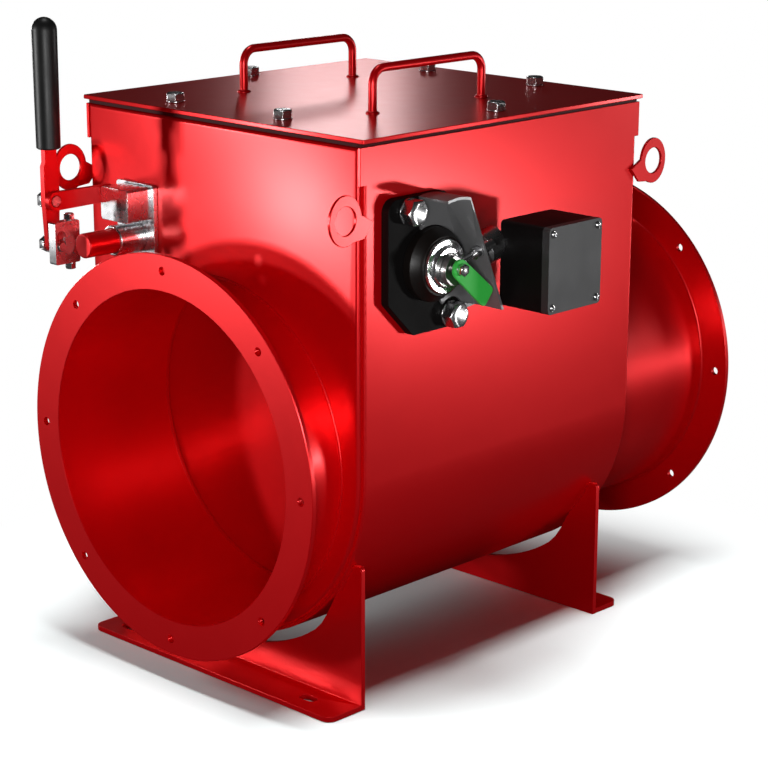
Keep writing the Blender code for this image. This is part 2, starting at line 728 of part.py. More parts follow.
def switch_group(black, grey, steel, chrome):
    """Switch bracket with its guard band, the sensing rod, and the switch head, box, cover and screws."""
    face = casing_half_width + gap + bearing_plate_thick + gap
    front = face + band_depth
    centre = (shaft_y, shaft_z)
    corner = (shaft_y + band_corner_y, shaft_z + band_corner_z)

    def band_line(radius, shift):
        top = arc(centre, radius, band_start, band_end, 8)
        return top + [(corner[0] + shift, corner[1])]

    outer = band_line(band_radius, 0.0)
    inner = band_line(band_radius - band_sheet, -band_sheet * 1.1)
    band = plate("switch_bracket", "x", face, front, outer + list(reversed(inner)), [], black)
    floor_line = arc(centre, band_radius - band_sheet * 0.5, band_start + 0.3, band_end, 8)
    floor_line += [(corner[0] - band_sheet * 0.5, corner[1]), (shaft_y + 0.022, corner[1] - 0.004),
                   (shaft_y + 0.010, shaft_z - 0.030), (shaft_y - 0.012, shaft_z + 0.02)]
    floor = plate("bracket_floor_helper", "x", face, face + band_sheet, list(reversed(floor_line)), [], black)
    boolean(band, floor, "UNION")
    hub_line = [(face - 0.01, hub_radius + 0.001), (face + 0.02, hub_radius + 0.001)]
    hub_cut = turned("bracket_hub_helper", "x", centre, hub_line, black, 40)
    boolean(band, hub_cut)
    bolt_cut = turned("bracket_bolt_helper", "x", (shaft_y + bearing_bolt_y, shaft_z - bearing_bolt_z),
                      [(face - 0.01, 0.016), (face + 0.02, 0.016)], black, 24)
    boolean(band, bolt_cut)

    back = face + box_standoff
    box_low_y = shaft_y + box_offset_y
    top = shaft_z + box_top_z
    bottom = top - box_z

    hub_face = face + hub_length
    rod_x = hub_face + collar_length + gap + cam_thick / 2
    aim = math.radians(rod_angle)
    along = Vector((0.0, math.cos(aim), math.sin(aim)))
    start = Vector((rod_x, shaft_y, shaft_z)) + along * (cam_small_radius + rod_clearance)
    side = Vector((1.0, 0.0, 0.0))
    up = along.cross(side)

    def ring_at(distance, radius):
        return [tuple(start + along * distance + side * radius * math.cos(t) + up * radius * math.sin(t))
                for t in [2 * math.pi * k / 16 for k in range(16)]]

    notch = loft("bracket_neck_helper", [ring_at(0.012, neck_radius + gap),
                                         ring_at(head_start + 0.004, neck_radius + gap)], black)
    boolean(band, notch)
    rings = [ring_at(0.0, rod_radius * 0.25), ring_at(0.0015, rod_radius), ring_at(rod_length, rod_radius)]
    loft("switch_rod", rings, chrome, place=tuple(start))

    shift = Vector((head_shift_x, 0.0, head_shift_up))

    def head_ring(distance, radius):
        return [tuple(Vector(p) + shift) for p in ring_at(distance, radius)]

    def ring_on_box(radius):
        ring = [Vector(p) for p in head_ring(0.0, radius)]
        return [tuple(p + along * ((box_low_y - gap - p.y) / along.y)) for p in ring]

    rings = [head_ring(head_start, head_radius * 0.8), head_ring(head_start + 0.003, head_radius),
             ring_on_box(head_radius)]
    head = loft("switch_head", rings, chrome)
    rings = [ring_at(neck_start, neck_radius), ring_at(head_start + 0.006, neck_radius)]
    neck = loft("head_neck_helper", rings, chrome)
    boolean(head, neck, "UNION")
    bore = loft("head_bore_helper", [ring_at(neck_start - 0.01, rod_radius + gap),
                                     ring_at(rod_length + cam_rise + 0.001, rod_radius + gap)], chrome)
    boolean(head, bore)

    sides = box_outline(box_low_y, bottom, box_low_y + box_y, top, 0.004)
    plate("switch_box", "x", back, back + box_x - cover_thick, sides, [], black)
    cover_low = back + box_x - cover_thick + gap
    screws = [(box_low_y + dy, bottom + dz) for dy in (0.006, box_y - 0.006) for dz in (0.006, box_z - 0.006)]
    holes = [circle(0.0022, 12, spot) for spot in screws]
    plate("switch_cover", "x", cover_low, cover_low + cover_thick, sides, holes, grey)
    for word, spot in zip(("front_low", "front_high", "rear_low", "rear_high"), screws):
        cap_screw("cover_screw_" + word, "x", spot, cover_low + cover_thick + gap, 1, 0.0036, 0.0022, 0.0018,
                  cover_thick - 0.001, steel)


def latch_group(red, zinc, chrome, black):
    """Hand latch on the front plate: body, sleeve, arm, lever with grip, and the plunger it drives."""
    plate_out = -plate_face_y - gap
    sleeve_radius = plunger_radius + gap + sleeve_wall
    body_x0, body_x1 = latch_x - latch_body_left, latch_x + latch_body_right
    base_low = plate_out - latch_base_thick
    hole = circle(sleeve_radius + gap, 32, (latch_x, latch_z))
    outline = box_outline(body_x0 - latch_body_edge, latch_z - latch_body_down,
                          body_x1 + latch_body_edge, latch_z + latch_body_up, latch_body_edge)
    base = plate("latch_body", "y", base_low, plate_out, outline, [hole], zinc)
    block_low = latch_z + sleeve_radius + latch_body_edge
    lever_x = latch_x - lever_gap_x
    arm_x0 = lever_x + lever_thick / 2 + gap
    arm_x1 = arm_x0 + latch_arm_thick
    block = plate("latch_block_helper", "y", latch_block_y, base_low + 0.002,
                  box_outline(arm_x1 + gap, block_low, body_x1, latch_z + latch_body_up - 0.002, 0.003),
                  [], zinc)
    boolean(base, block, "UNION")
    profile = [(plate_out, plunger_radius + gap), (plate_out, sleeve_radius),
               (sleeve_end_y + 0.001, sleeve_radius), (sleeve_end_y, sleeve_radius - 0.001),
               (sleeve_end_y, plunger_radius + gap)]
    turned("latch_sleeve", "y", (latch_x, latch_z), profile, chrome, 32, capped=False)

    pivot_z = latch_z + latch_arm_reach
    arm = rounded([(latch_pin_y - 0.009, pivot_z - 0.009), (latch_arm_root_y, pivot_z - 0.008),
                   (latch_arm_root_y, pivot_z + 0.008), (latch_pin_y - 0.009, pivot_z + 0.009)],
                  [0.008, 0.003, 0.003, 0.008])
    bolt_radius = 0.005
    bolt_hole = circle(bolt_radius + hole_slack, 16, (latch_pin_y, pivot_z))
    plate("latch_arm", "x", arm_x0, arm_x1, arm, [bolt_hole], red)

    pivot = (lever_x, latch_pin_y, pivot_z)
    half = lever_width / 2
    top = grip_bottom_z + grip_length * 0.5
    outline = [(latch_pin_y - half * 0.8, top), (latch_pin_y - half * 0.8, grip_bottom_z - 0.012),
               (latch_pin_y - half, grip_bottom_z - 0.016), (latch_pin_y - half, pivot_z)]
    outline += arc((latch_pin_y, latch_z), half * 0.72, 180, 360, 10)
    outline += [(latch_pin_y + half, pivot_z), (latch_pin_y + half, grip_bottom_z - 0.016),
                (latch_pin_y + half * 0.8, grip_bottom_z - 0.012), (latch_pin_y + half * 0.8, top)]
    low, high = lever_x - lever_thick / 2, lever_x + lever_thick / 2
    pin_hole = circle(latch_pin_radius + gap, 16, (latch_pin_y, latch_z))
    plate("latch_lever", "x", low, high, outline, [bolt_hole, pin_hole], red, place=pivot)
    grip_half = half * 0.8 + gap
    grip_bore = box_outline(low - gap, latch_pin_y - grip_half, high + gap, latch_pin_y + grip_half)
    crown = grip_bottom_z + grip_length
    rounds = [(crown - grip_radius * (1 - math.sin(t)), max(grip_radius * math.cos(t), 0.0008))
              for t in [math.pi / 2 * k / 6 for k in range(7)]]
    profile = [(grip_bottom_z, grip_radius - 0.002), (grip_bottom_z + 0.001, grip_radius * 0.96)] + rounds
    grip = turned("latch_grip", "z", (lever_x, latch_pin_y), profile, black, 32, 40, place=pivot)
    slot = plate("grip_slot_helper", "z", grip_bottom_z - 0.01, top + gap, grip_bore, [], black)
    boolean(grip, slot)

    hex_bolt("latch_pivot_bolt", "x", (latch_pin_y, pivot_z), low - gap, -1, 0.016, 0.007, bolt_radius,
             lever_thick + latch_arm_thick + 2 * gap, chrome, place=pivot)
    pin_length = clevis_start_x + clevis_thick + 0.0018 - low + gap
    hex_bolt("latch_pin", "x", (latch_pin_y, latch_z), low - gap, -1, 0.014, 0.008, latch_pin_radius,
             pin_length, chrome, place=pivot)

    profile = [(plunger_face_y, plunger_radius - 0.001), (plunger_face_y + 0.001, plunger_radius),
               (plunger_tip_y - 0.003, plunger_radius), (plunger_tip_y, plunger_radius - 0.003)]
    turned("latch_plunger", "y", (latch_x, latch_z), profile, red, 32,
           place=(latch_x, plunger_face_y, latch_z))
    slot_half = latch_pin_radius + latch_pin_slack
    rise = latch_arm_reach * (1 - math.cos(math.radians(latch_turn)))
    slot = box_outline(latch_pin_y - slot_half, latch_z - slot_half, latch_pin_y + slot_half,
                       latch_z + slot_half + rise, slot_half * 0.98, 5)
    clevis_low, clevis_high = latch_z - clevis_drop, latch_z - clevis_drop + clevis_height
    clevis_x = clevis_start_x + clevis_thick / 2
    body = box_outline(clevis_front_y, clevis_low, clevis_rear_y, clevis_high, 0.002)
    clevis = plate("latch_clevis", "x", clevis_start_x, clevis_start_x + clevis_thick, body, [slot], chrome,
                   place=(latch_x, plunger_face_y, latch_z))
    for word, level, side in (("low", clevis_low, -1), ("high", clevis_high, 1)):
        nut = hex_bolt("clamp_%s_helper" % word, "z", (clevis_x, clamp_bolt_y), level, side, 0.009,
                       clamp_bolt_head, 0.002, 0.001, chrome)
        boolean(clevis, nut, "UNION")


def centre_on_floor():
    """Stand the whole valve on z = 0 with the middle of its outline over the origin."""
    bpy.context.view_layer.update()
    shapes = [thing for thing in bpy.data.objects if thing.type == "MESH" and not thing.hide_render]
    corners = [thing.matrix_world @ Vector(corner) for thing in shapes for corner in thing.bound_box]
    middle_x = (min(c.x for c in corners) + max(c.x for c in corners)) / 2
    middle_y = (min(c.y for c in corners) + max(c.y for c in corners)) / 2
    for thing in bpy.data.objects:
        thing.location.x -= middle_x
        thing.location.y -= middle_y


def main():
    for thing in list(bpy.data.objects):
        bpy.data.objects.remove(thing)
    red = paint("red_paint", (0.62, 0.012, 0.016), 0.22, 0.0)
    flap_red = paint("flap_paint", (0.55, 0.012, 0.016), 0.30, 0.0)
    black = paint("black_paint", (0.015, 0.015, 0.016), 0.35, 0.0)
    grip_black = paint("grip_plastic", (0.02, 0.019, 0.019), 0.5, 0.0)
    grey = paint("cover_grey", (0.10, 0.105, 0.11), 0.45, 0.2)
    rubber = paint("seal_rubber", (0.02, 0.02, 0.02), 0.8, 0.0)
    zinc = paint("zinc_plate", (0.62, 0.62, 0.62), 0.35, 1.0)
    chrome = paint("bright_steel", (0.78, 0.78, 0.79), 0.15, 1.0)
    steel = paint("plain_steel", (0.55, 0.55, 0.55), 0.3, 1.0)
    green = paint("green_paint", (0.04, 0.32, 0.07), 0.4, 0.0)

    casing_shell(red)
    tube_hole = circle(bore_radius + tube_wall + gap, 64, (0.0, axis_z))
    latch_hole = circle(plunger_radius + hole_slack, 32, (latch_x, latch_z))
    end_plate("front_plate", -1, [tube_hole, latch_hole], red)
    end_plate("rear_plate", 1, [tube_hole], red)
    tube("inlet_tube", inlet_face_y, seat_y, seat_tilt, red)
    tube("outlet_tube", outlet_face_y, plate_face_y - 0.010, 0, red)
    flange("inlet_flange", inlet_face_y, -1, red)
    flange("outlet_flange", outlet_face_y, 1, red)
    for word_x, side_x in (("left", -1), ("right", 1)):
        for word_y, side_y in (("front", -1), ("rear", 1)):
            lifting_lug("lifting_lug_%s_%s" % (word_y, word_x), side_x, side_y, red)
    lid_group(red, rubber, chrome)
    leg("front_leg", front_leg_y, -1, front_foot_length, red)
    leg("rear_leg", rear_leg_y, 1, rear_foot_length, red)
    flange_bearing("right", 1, black, chrome)
    flange_bearing("left", -1, black, chrome)
    flap_group(flap_red, rubber, steel, chrome, green)
    switch_group(black, grey, chrome, chrome)
    latch_group(red, zinc, chrome, grip_black)
    centre_on_floor()


main()
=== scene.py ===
import json
import math

import bmesh
import bpy
from mathutils import Matrix, Vector


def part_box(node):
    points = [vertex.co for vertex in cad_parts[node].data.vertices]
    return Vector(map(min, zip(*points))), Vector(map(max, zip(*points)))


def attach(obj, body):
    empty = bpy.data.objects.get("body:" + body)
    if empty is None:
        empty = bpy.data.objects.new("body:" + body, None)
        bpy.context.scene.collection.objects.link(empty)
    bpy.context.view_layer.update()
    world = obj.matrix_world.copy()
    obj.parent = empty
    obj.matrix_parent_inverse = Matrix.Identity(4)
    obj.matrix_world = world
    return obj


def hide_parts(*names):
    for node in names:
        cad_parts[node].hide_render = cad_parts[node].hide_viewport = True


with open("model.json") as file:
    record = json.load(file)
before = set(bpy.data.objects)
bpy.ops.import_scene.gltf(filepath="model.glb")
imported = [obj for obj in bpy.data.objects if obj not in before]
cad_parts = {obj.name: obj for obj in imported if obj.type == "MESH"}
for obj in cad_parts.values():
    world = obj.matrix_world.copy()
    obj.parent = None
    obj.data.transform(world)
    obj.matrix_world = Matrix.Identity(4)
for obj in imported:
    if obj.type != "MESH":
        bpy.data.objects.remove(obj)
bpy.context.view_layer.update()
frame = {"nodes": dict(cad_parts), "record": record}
print("frame loaded with", len(frame["nodes"]), "nodes")


def middleOf(nodeName):
    low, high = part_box(nodeName)
    return (low + high) / 2


# every finish in one place: "drift" is the share of shade in the colour, "speckle" the spread of roughness
paintLook = {
    "redPaint": {"colour": (0.84, 0.000, 0.004), "shade": (0.72, 0.000, 0.002), "drift": 0.25,
                 "metal": 0.55, "roughness": 0.30, "speckle": 0.05, "gloss": 0.25,
                 "coat": 0.42, "coatRoughness": 0.25, "peelSize": 260.0, "bump": 0.04},
    "flapPaint": {"colour": (0.74, 0.000, 0.003), "shade": (0.58, 0.000, 0.002), "drift": 0.5,
                  "metal": 0.50, "roughness": 0.40, "speckle": 0.12, "gloss": 0.25,
                  "coat": 0.15, "coatRoughness": 0.30, "peelSize": 260.0, "bump": 0.04},
    "blackPaint": {"colour": (0.008, 0.005, 0.004), "shade": (0.002, 0.002, 0.002), "drift": 0.6,
                   "metal": 0.0, "roughness": 0.36, "speckle": 0.14, "gloss": 0.35,
                   "coat": 0.0, "coatRoughness": 0.20, "peelSize": 420.0, "bump": 0.08},
    "boxPaint": {"colour": (0.006, 0.005, 0.005), "shade": (0.002, 0.002, 0.002), "drift": 0.6,
                 "metal": 0.0, "roughness": 0.45, "speckle": 0.10, "gloss": 0.08,
                 "coat": 0.0, "coatRoughness": 0.20, "peelSize": 600.0, "bump": 0.06},
    "greenPaint": {"colour": (0.055, 0.640, 0.085), "shade": (0.030, 0.420, 0.050), "drift": 0.4,
                   "metal": 0.0, "roughness": 0.40, "speckle": 0.12, "gloss": 0.3,
                   "coat": 0.0, "coatRoughness": 0.10, "peelSize": 260.0, "bump": 0.04},
    "coverPaint": {"colour": (0.050, 0.050, 0.052), "shade": (0.020, 0.020, 0.021), "drift": 0.6,
                   "metal": 0.3, "roughness": 0.44, "speckle": 0.16, "gloss": 0.5,
                   "coat": 0.1, "coatRoughness": 0.30, "peelSize": 900.0, "bump": 0.12},
    "platedSteel": {"colour": (0.340, 0.340, 0.345), "shade": (0.080, 0.080, 0.083), "drift": 0.9,
                    "metal": 0.45, "roughness": 0.30, "speckle": 0.20, "gloss": 0.5,
                    "coat": 0.3, "coatRoughness": 0.15, "peelSize": 300.0, "bump": 0.08},
    "gasketEdge": {"colour": (0.060, 0.000, 0.001), "shade": (0.020, 0.000, 0.000), "drift": 0.5,
                   "metal": 0.0, "roughness": 0.55, "speckle": 0.10, "gloss": 0.2,
                   "coat": 0.0, "coatRoughness": 0.30, "peelSize": 260.0, "bump": 0.04},
}
metalLook = {
    "brightSteel": {"colour": (0.94, 0.94, 0.95), "shade": (0.74, 0.74, 0.75), "roughness": 0.20,
                    "spread": 0.12, "stretch": (60, 60, 60), "bump": 0.05},
    "zincPlate": {"colour": (0.88, 0.88, 0.89), "shade": (0.56, 0.56, 0.58), "roughness": 0.17,
                  "spread": 0.2, "stretch": (25, 25, 25), "bump": 0.1},
    "groundSteel": {"colour": (0.58, 0.57, 0.56), "shade": (0.40, 0.39, 0.38), "roughness": 0.24,
                    "spread": 0.2, "stretch": (12, 160, 160), "bump": 0.12},
}
gripLook = {"colour": (0.008, 0.008, 0.008), "darker": 0.6, "drift": 0.5, "roughness": 0.36, "speckle": 0.15,
            "peelSize": 520.0, "bump": 0.10}
grainLook = {"driftScale": 7.0, "driftDetail": 3.0, "speckleScale": 45.0, "speckleDetail": 6.0,
             "peelDetail": 2.0, "metalScale": 4.0, "metalDetail": 8.0}
bumpDepth = {"paint": 0.001, "metal": 0.0003, "plastic": 0.0005}


def addNode(tree, kind, **settings):
    node = tree.nodes.new(kind)
    for key, value in settings.items():
        setattr(node, key, value)
    return node


def newGroup(name, kind, inputs, outputs):
    # an empty node group with named inputs and outputs
    tree = bpy.data.node_groups.new(name, kind)
    for label, socketKind, value in inputs:
        socket = tree.interface.new_socket(name=label, in_out="INPUT", socket_type=socketKind)
        if value is not None:
            socket.default_value = value
    for label, socketKind in outputs:
        tree.interface.new_socket(name=label, in_out="OUTPUT", socket_type=socketKind)
    return tree, addNode(tree, "NodeGroupInput"), addNode(tree, "NodeGroupOutput")


skinOutputs = [("Colour", "NodeSocketColor"), ("Roughness", "NodeSocketFloat"), ("Height", "NodeSocketFloat")]


def makePaintGroup():
    # slow colour drift, fine speckle in the gloss and an orange-peel height
    tree, start, end = newGroup("paintSkin", "ShaderNodeTree", [
        ("Colour", "NodeSocketColor", (0.6, 0.0, 0.0, 1.0)),
        ("Shade", "NodeSocketColor", (0.3, 0.0, 0.0, 1.0)),
        ("Drift", "NodeSocketFloat", 0.25), ("Roughness", "NodeSocketFloat", 0.2),
        ("Speckle", "NodeSocketFloat", 0.05), ("Peel Size", "NodeSocketFloat", 260.0)], skinOutputs)
    place = addNode(tree, "ShaderNodeTexCoord")
    drift = addNode(tree, "ShaderNodeTexNoise")
    drift.inputs["Scale"].default_value = grainLook["driftScale"]
    drift.inputs["Detail"].default_value = grainLook["driftDetail"]
    tree.links.new(place.outputs["Object"], drift.inputs["Vector"])
    amount = addNode(tree, "ShaderNodeMath", operation="MULTIPLY")
    tree.links.new(drift.outputs["Fac"], amount.inputs[0])
    tree.links.new(start.outputs["Drift"], amount.inputs[1])
    mix = addNode(tree, "ShaderNodeMix", data_type="RGBA")
    tree.links.new(amount.outputs[0], mix.inputs["Factor"])
    tree.links.new(start.outputs["Colour"], mix.inputs["A"])
    tree.links.new(start.outputs["Shade"], mix.inputs["B"])
    tree.links.new(mix.outputs["Result"], end.inputs["Colour"])
    speckle = addNode(tree, "ShaderNodeTexNoise")
    speckle.inputs["Scale"].default_value = grainLook["speckleScale"]
    speckle.inputs["Detail"].default_value = grainLook["speckleDetail"]
    tree.links.new(place.outputs["Object"], speckle.inputs["Vector"])
    spread = addNode(tree, "ShaderNodeMath", operation="MULTIPLY_ADD")
    tree.links.new(speckle.outputs["Fac"], spread.inputs[0])
    tree.links.new(start.outputs["Speckle"], spread.inputs[1])
    tree.links.new(start.outputs["Roughness"], spread.inputs[2])
    tree.links.new(spread.outputs[0], end.inputs["Roughness"])
    peel = addNode(tree, "ShaderNodeTexNoise")
    peel.inputs["Detail"].default_value = grainLook["peelDetail"]
    tree.links.new(place.outputs["Object"], peel.inputs["Vector"])
    tree.links.new(start.outputs["Peel Size"], peel.inputs["Scale"])
    tree.links.new(peel.outputs["Fac"], end.inputs["Height"])
    return tree


def makeMetalGroup():
    # drawn-out noise: brushing along one direction, or plating blotches when the stretch is even
    tree, start, end = newGroup("metalGrain", "ShaderNodeTree", [
        ("Colour", "NodeSocketColor", (0.8, 0.8, 0.8, 1.0)),
        ("Shade", "NodeSocketColor", (0.5, 0.5, 0.5, 1.0)),
        ("Stretch", "NodeSocketVector", (60.0, 60.0, 60.0)), ("Roughness", "NodeSocketFloat", 0.15),
        ("Spread", "NodeSocketFloat", 0.12)], skinOutputs)
    place = addNode(tree, "ShaderNodeTexCoord")
    scaled = addNode(tree, "ShaderNodeVectorMath", operation="MULTIPLY")
    tree.links.new(place.outputs["Object"], scaled.inputs[0])
    tree.links.new(start.outputs["Stretch"], scaled.inputs[1])
    noise = addNode(tree, "ShaderNodeTexNoise")
    noise.inputs["Scale"].default_value = grainLook["metalScale"]
    noise.inputs["Detail"].default_value = grainLook["metalDetail"]
    tree.links.new(scaled.outputs[0], noise.inputs["Vector"])
    mix = addNode(tree, "ShaderNodeMix", data_type="RGBA")
    tree.links.new(noise.outputs["Fac"], mix.inputs["Factor"])
    tree.links.new(start.outputs["Colour"], mix.inputs["A"])
    tree.links.new(start.outputs["Shade"], mix.inputs["B"])
    tree.links.new(mix.outputs["Result"], end.inputs["Colour"])
    spread = addNode(tree, "ShaderNodeMath", operation="MULTIPLY_ADD")
    tree.links.new(noise.outputs["Fac"], spread.inputs[0])
    tree.links.new(start.outputs["Spread"], spread.inputs[1])
    tree.links.new(start.outputs["Roughness"], spread.inputs[2])
    tree.links.new(spread.outputs[0], end.inputs["Roughness"])
    tree.links.new(noise.outputs["Fac"], end.inputs["Height"])
    return tree


paintSkin = makePaintGroup()
metalGrain = makeMetalGroup()


def startMaterial(name):
    material = bpy.data.materials.new(name)
    material.use_nodes = True
    return material, material.node_tree, material.node_tree.nodes["Principled BSDF"]


def joinGroup(tree, shader, group, values, bumpStrength, bumpDistance):
    # one use of a group: its colour and roughness go to the shader, its height to a bump
    node = addNode(tree, "ShaderNodeGroup", node_tree=group)
    for key, value in values.items():
        node.inputs[key].default_value = value
    tree.links.new(node.outputs["Colour"], shader.inputs["Base Color"])
    tree.links.new(node.outputs["Roughness"], shader.inputs["Roughness"])
    bump = addNode(tree, "ShaderNodeBump")
    bump.inputs["Strength"].default_value = bumpStrength
    bump.inputs["Distance"].default_value = bumpDistance
    tree.links.new(node.outputs["Height"], bump.inputs["Height"])
    tree.links.new(bump.outputs["Normal"], shader.inputs["Normal"])


def paintMaterial(name, look):
    material, tree, shader = startMaterial(name)
    joinGroup(tree, shader, paintSkin, {
        "Colour": (*look["colour"], 1.0), "Shade": (*look["shade"], 1.0), "Drift": look["drift"],
        "Roughness": look["roughness"], "Speckle": look["speckle"], "Peel Size": look["peelSize"]},
        look["bump"], bumpDepth["paint"])
    shader.inputs["Metallic"].default_value = look["metal"]
    shader.inputs["Specular IOR Level"].default_value = look["gloss"]
    shader.inputs["Coat Weight"].default_value = look["coat"]
    shader.inputs["Coat Roughness"].default_value = look["coatRoughness"]
    return material


def metalMaterial(name, look):
    material, tree, shader = startMaterial(name)
    joinGroup(tree, shader, metalGrain, {
        "Colour": (*look["colour"], 1.0), "Shade": (*look["shade"], 1.0), "Stretch": look["stretch"],
        "Roughness": look["roughness"], "Spread": look["spread"]}, look["bump"], bumpDepth["metal"])
    shader.inputs["Metallic"].default_value = 1.0
    return material


def plasticMaterial(name, look):
    material, tree, shader = startMaterial(name)
    shade = tuple(channel * look["darker"] for channel in look["colour"])
    joinGroup(tree, shader, paintSkin, {
        "Colour": (*look["colour"], 1.0), "Shade": (*shade, 1.0), "Drift": look["drift"],
        "Roughness": look["roughness"], "Speckle": look["speckle"], "Peel Size": look["peelSize"]},
        look["bump"], bumpDepth["plastic"])
    return material


materials = {name: paintMaterial(name, look) for name, look in paintLook.items()}
materials.update({name: metalMaterial(name, look) for name, look in metalLook.items()})
materials["gripPlastic"] = plasticMaterial("gripPlastic", gripLook)
print("materials made:", len(materials))

finishOfSlot = {
    "red_paint": "redPaint", "flap_paint": "flapPaint", "black_paint": "blackPaint",
    "green_paint": "greenPaint", "cover_grey": "coverPaint", "grip_plastic": "gripPlastic",
    "zinc_plate": "zincPlate", "bright_steel": "brightSteel", "plain_steel": "groundSteel",
}
# nodes whose finish in the photo isn't their slot's
finishOfNode = {"switch_bracket": "platedSteel", "switch_box": "boxPaint", "bearing_plate_right": "boxPaint",
                "flap_seal": "flapPaint", "lid_gasket": "gasketEdge"}
slotOfNode = {row["node"]: row["material_slot"] for row in frame["record"]["subparts"]}
bodies = frame["record"]["behaviour"]["bodies"]
bodyOfNode = {node: body for body, nodes in bodies.items() for node in nodes}

# how node shapes are cleaned and their edges broken: metres and degrees
cleanLook = {"mergeWithin": 2e-6, "shellWithin": 1e-6, "closeWithin": 1e-5, "flatWithin": 0.6}
edgeLook = {"segments": 2, "sharperThan": 38, "smoothBelow": 32, "usual": 0.0005}
edgeOfNode = {"casing_shell": 0.0006, "front_plate": 0.0006, "rear_plate": 0.0006, "flap_disc": 0.0008,
              "lid": 0.0008}


def dress(name, mesh, nodeNames, edge=0.0, smooth=edgeLook["smoothBelow"]):
    # a finished mesh becomes a piece, finished like its first node and riding on that node's body
    first = nodeNames[0]
    if not mesh.materials:
        finish = finishOfNode.get(first) or finishOfSlot[slotOfNode[first]]
        mesh.materials.append(materials[finish])
    piece = bpy.data.objects.new(name, mesh)
    bpy.context.collection.objects.link(piece)
    mesh.shade_smooth()
    mesh.set_sharp_from_angle(angle=math.radians(smooth))
    if edge:
        bevel = piece.modifiers.new("edge", "BEVEL")
        bevel.width = edge
        bevel.segments = edgeLook["segments"]
        bevel.limit_method = "ANGLE"
        bevel.angle_limit = math.radians(edgeLook["sharperThan"])
        bevel.harden_normals = True
        bevel.use_clamp_overlap = True
    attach(piece, bodyOfNode[first])
    return piece


def skinOf(nodeName, edge):
    # the node's own shape, with its facets joined and its edges broken
    shape = bmesh.new()
    shape.from_mesh(frame["nodes"][nodeName].data)
    bmesh.ops.remove_doubles(shape, verts=shape.verts, dist=cleanLook["mergeWithin"])
    bmesh.ops.dissolve_limit(shape, angle_limit=math.radians(cleanLook["flatWithin"]), verts=shape.verts,
                             edges=shape.edges, delimit=set())
    mesh = bpy.data.meshes.new(nodeName + "_skin")
    shape.to_mesh(mesh)
    shape.free()
    mesh.materials.clear()
    piece = dress(nodeName + "_skin", mesh, [nodeName], edge)
    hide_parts(nodeName)


def newShapeTree(name, inputs):
    # a geometry tree that takes seed points or lines, its own inputs and a material
    seed, material = ("Geometry", "NodeSocketGeometry", None), ("Material", "NodeSocketMaterial", None)
    return newGroup(name, "GeometryNodeTree", [seed, *inputs, material], [("Geometry", "NodeSocketGeometry")])


def closeTree(tree, start, end, socket):
    # every tree ends in plain faces with its material set
    real = addNode(tree, "GeometryNodeRealizeInstances")
    painted = addNode(tree, "GeometryNodeSetMaterial")
    tree.links.new(socket, real.inputs[0])
    tree.links.new(real.outputs[0], painted.inputs["Geometry"])
    tree.links.new(start.outputs["Material"], painted.inputs["Material"])
    tree.links.new(painted.outputs["Geometry"], end.inputs["Geometry"])


def mathOf(tree, operation, first, second=None):
    node = addNode(tree, "ShaderNodeMath", operation=operation)
    for place, value in ((0, first), (1, second)):
        if isinstance(value, (int, float)):
            node.inputs[place].default_value = value
        elif value is not None:
            tree.links.new(value, node.inputs[place])
    return node.outputs[0]


def vectorOf(tree, x, y, z):
    node = addNode(tree, "ShaderNodeCombineXYZ")
    for place, value in enumerate((x, y, z)):
        if isinstance(value, (int, float)):
            node.inputs[place].default_value = value
        else:
            tree.links.new(value, node.inputs[place])
    return node.outputs[0]


# how finely round shapes are drawn
facets = {"bolt": 36, "screw": 20, "screwRings": 10, "bead": 10, "drill": 24}
# a bolt head's chamfer: its flat as a share of the width across flats, and the cone's run per rise
chamferLook = {"flat": 0.44, "run": 1.7}


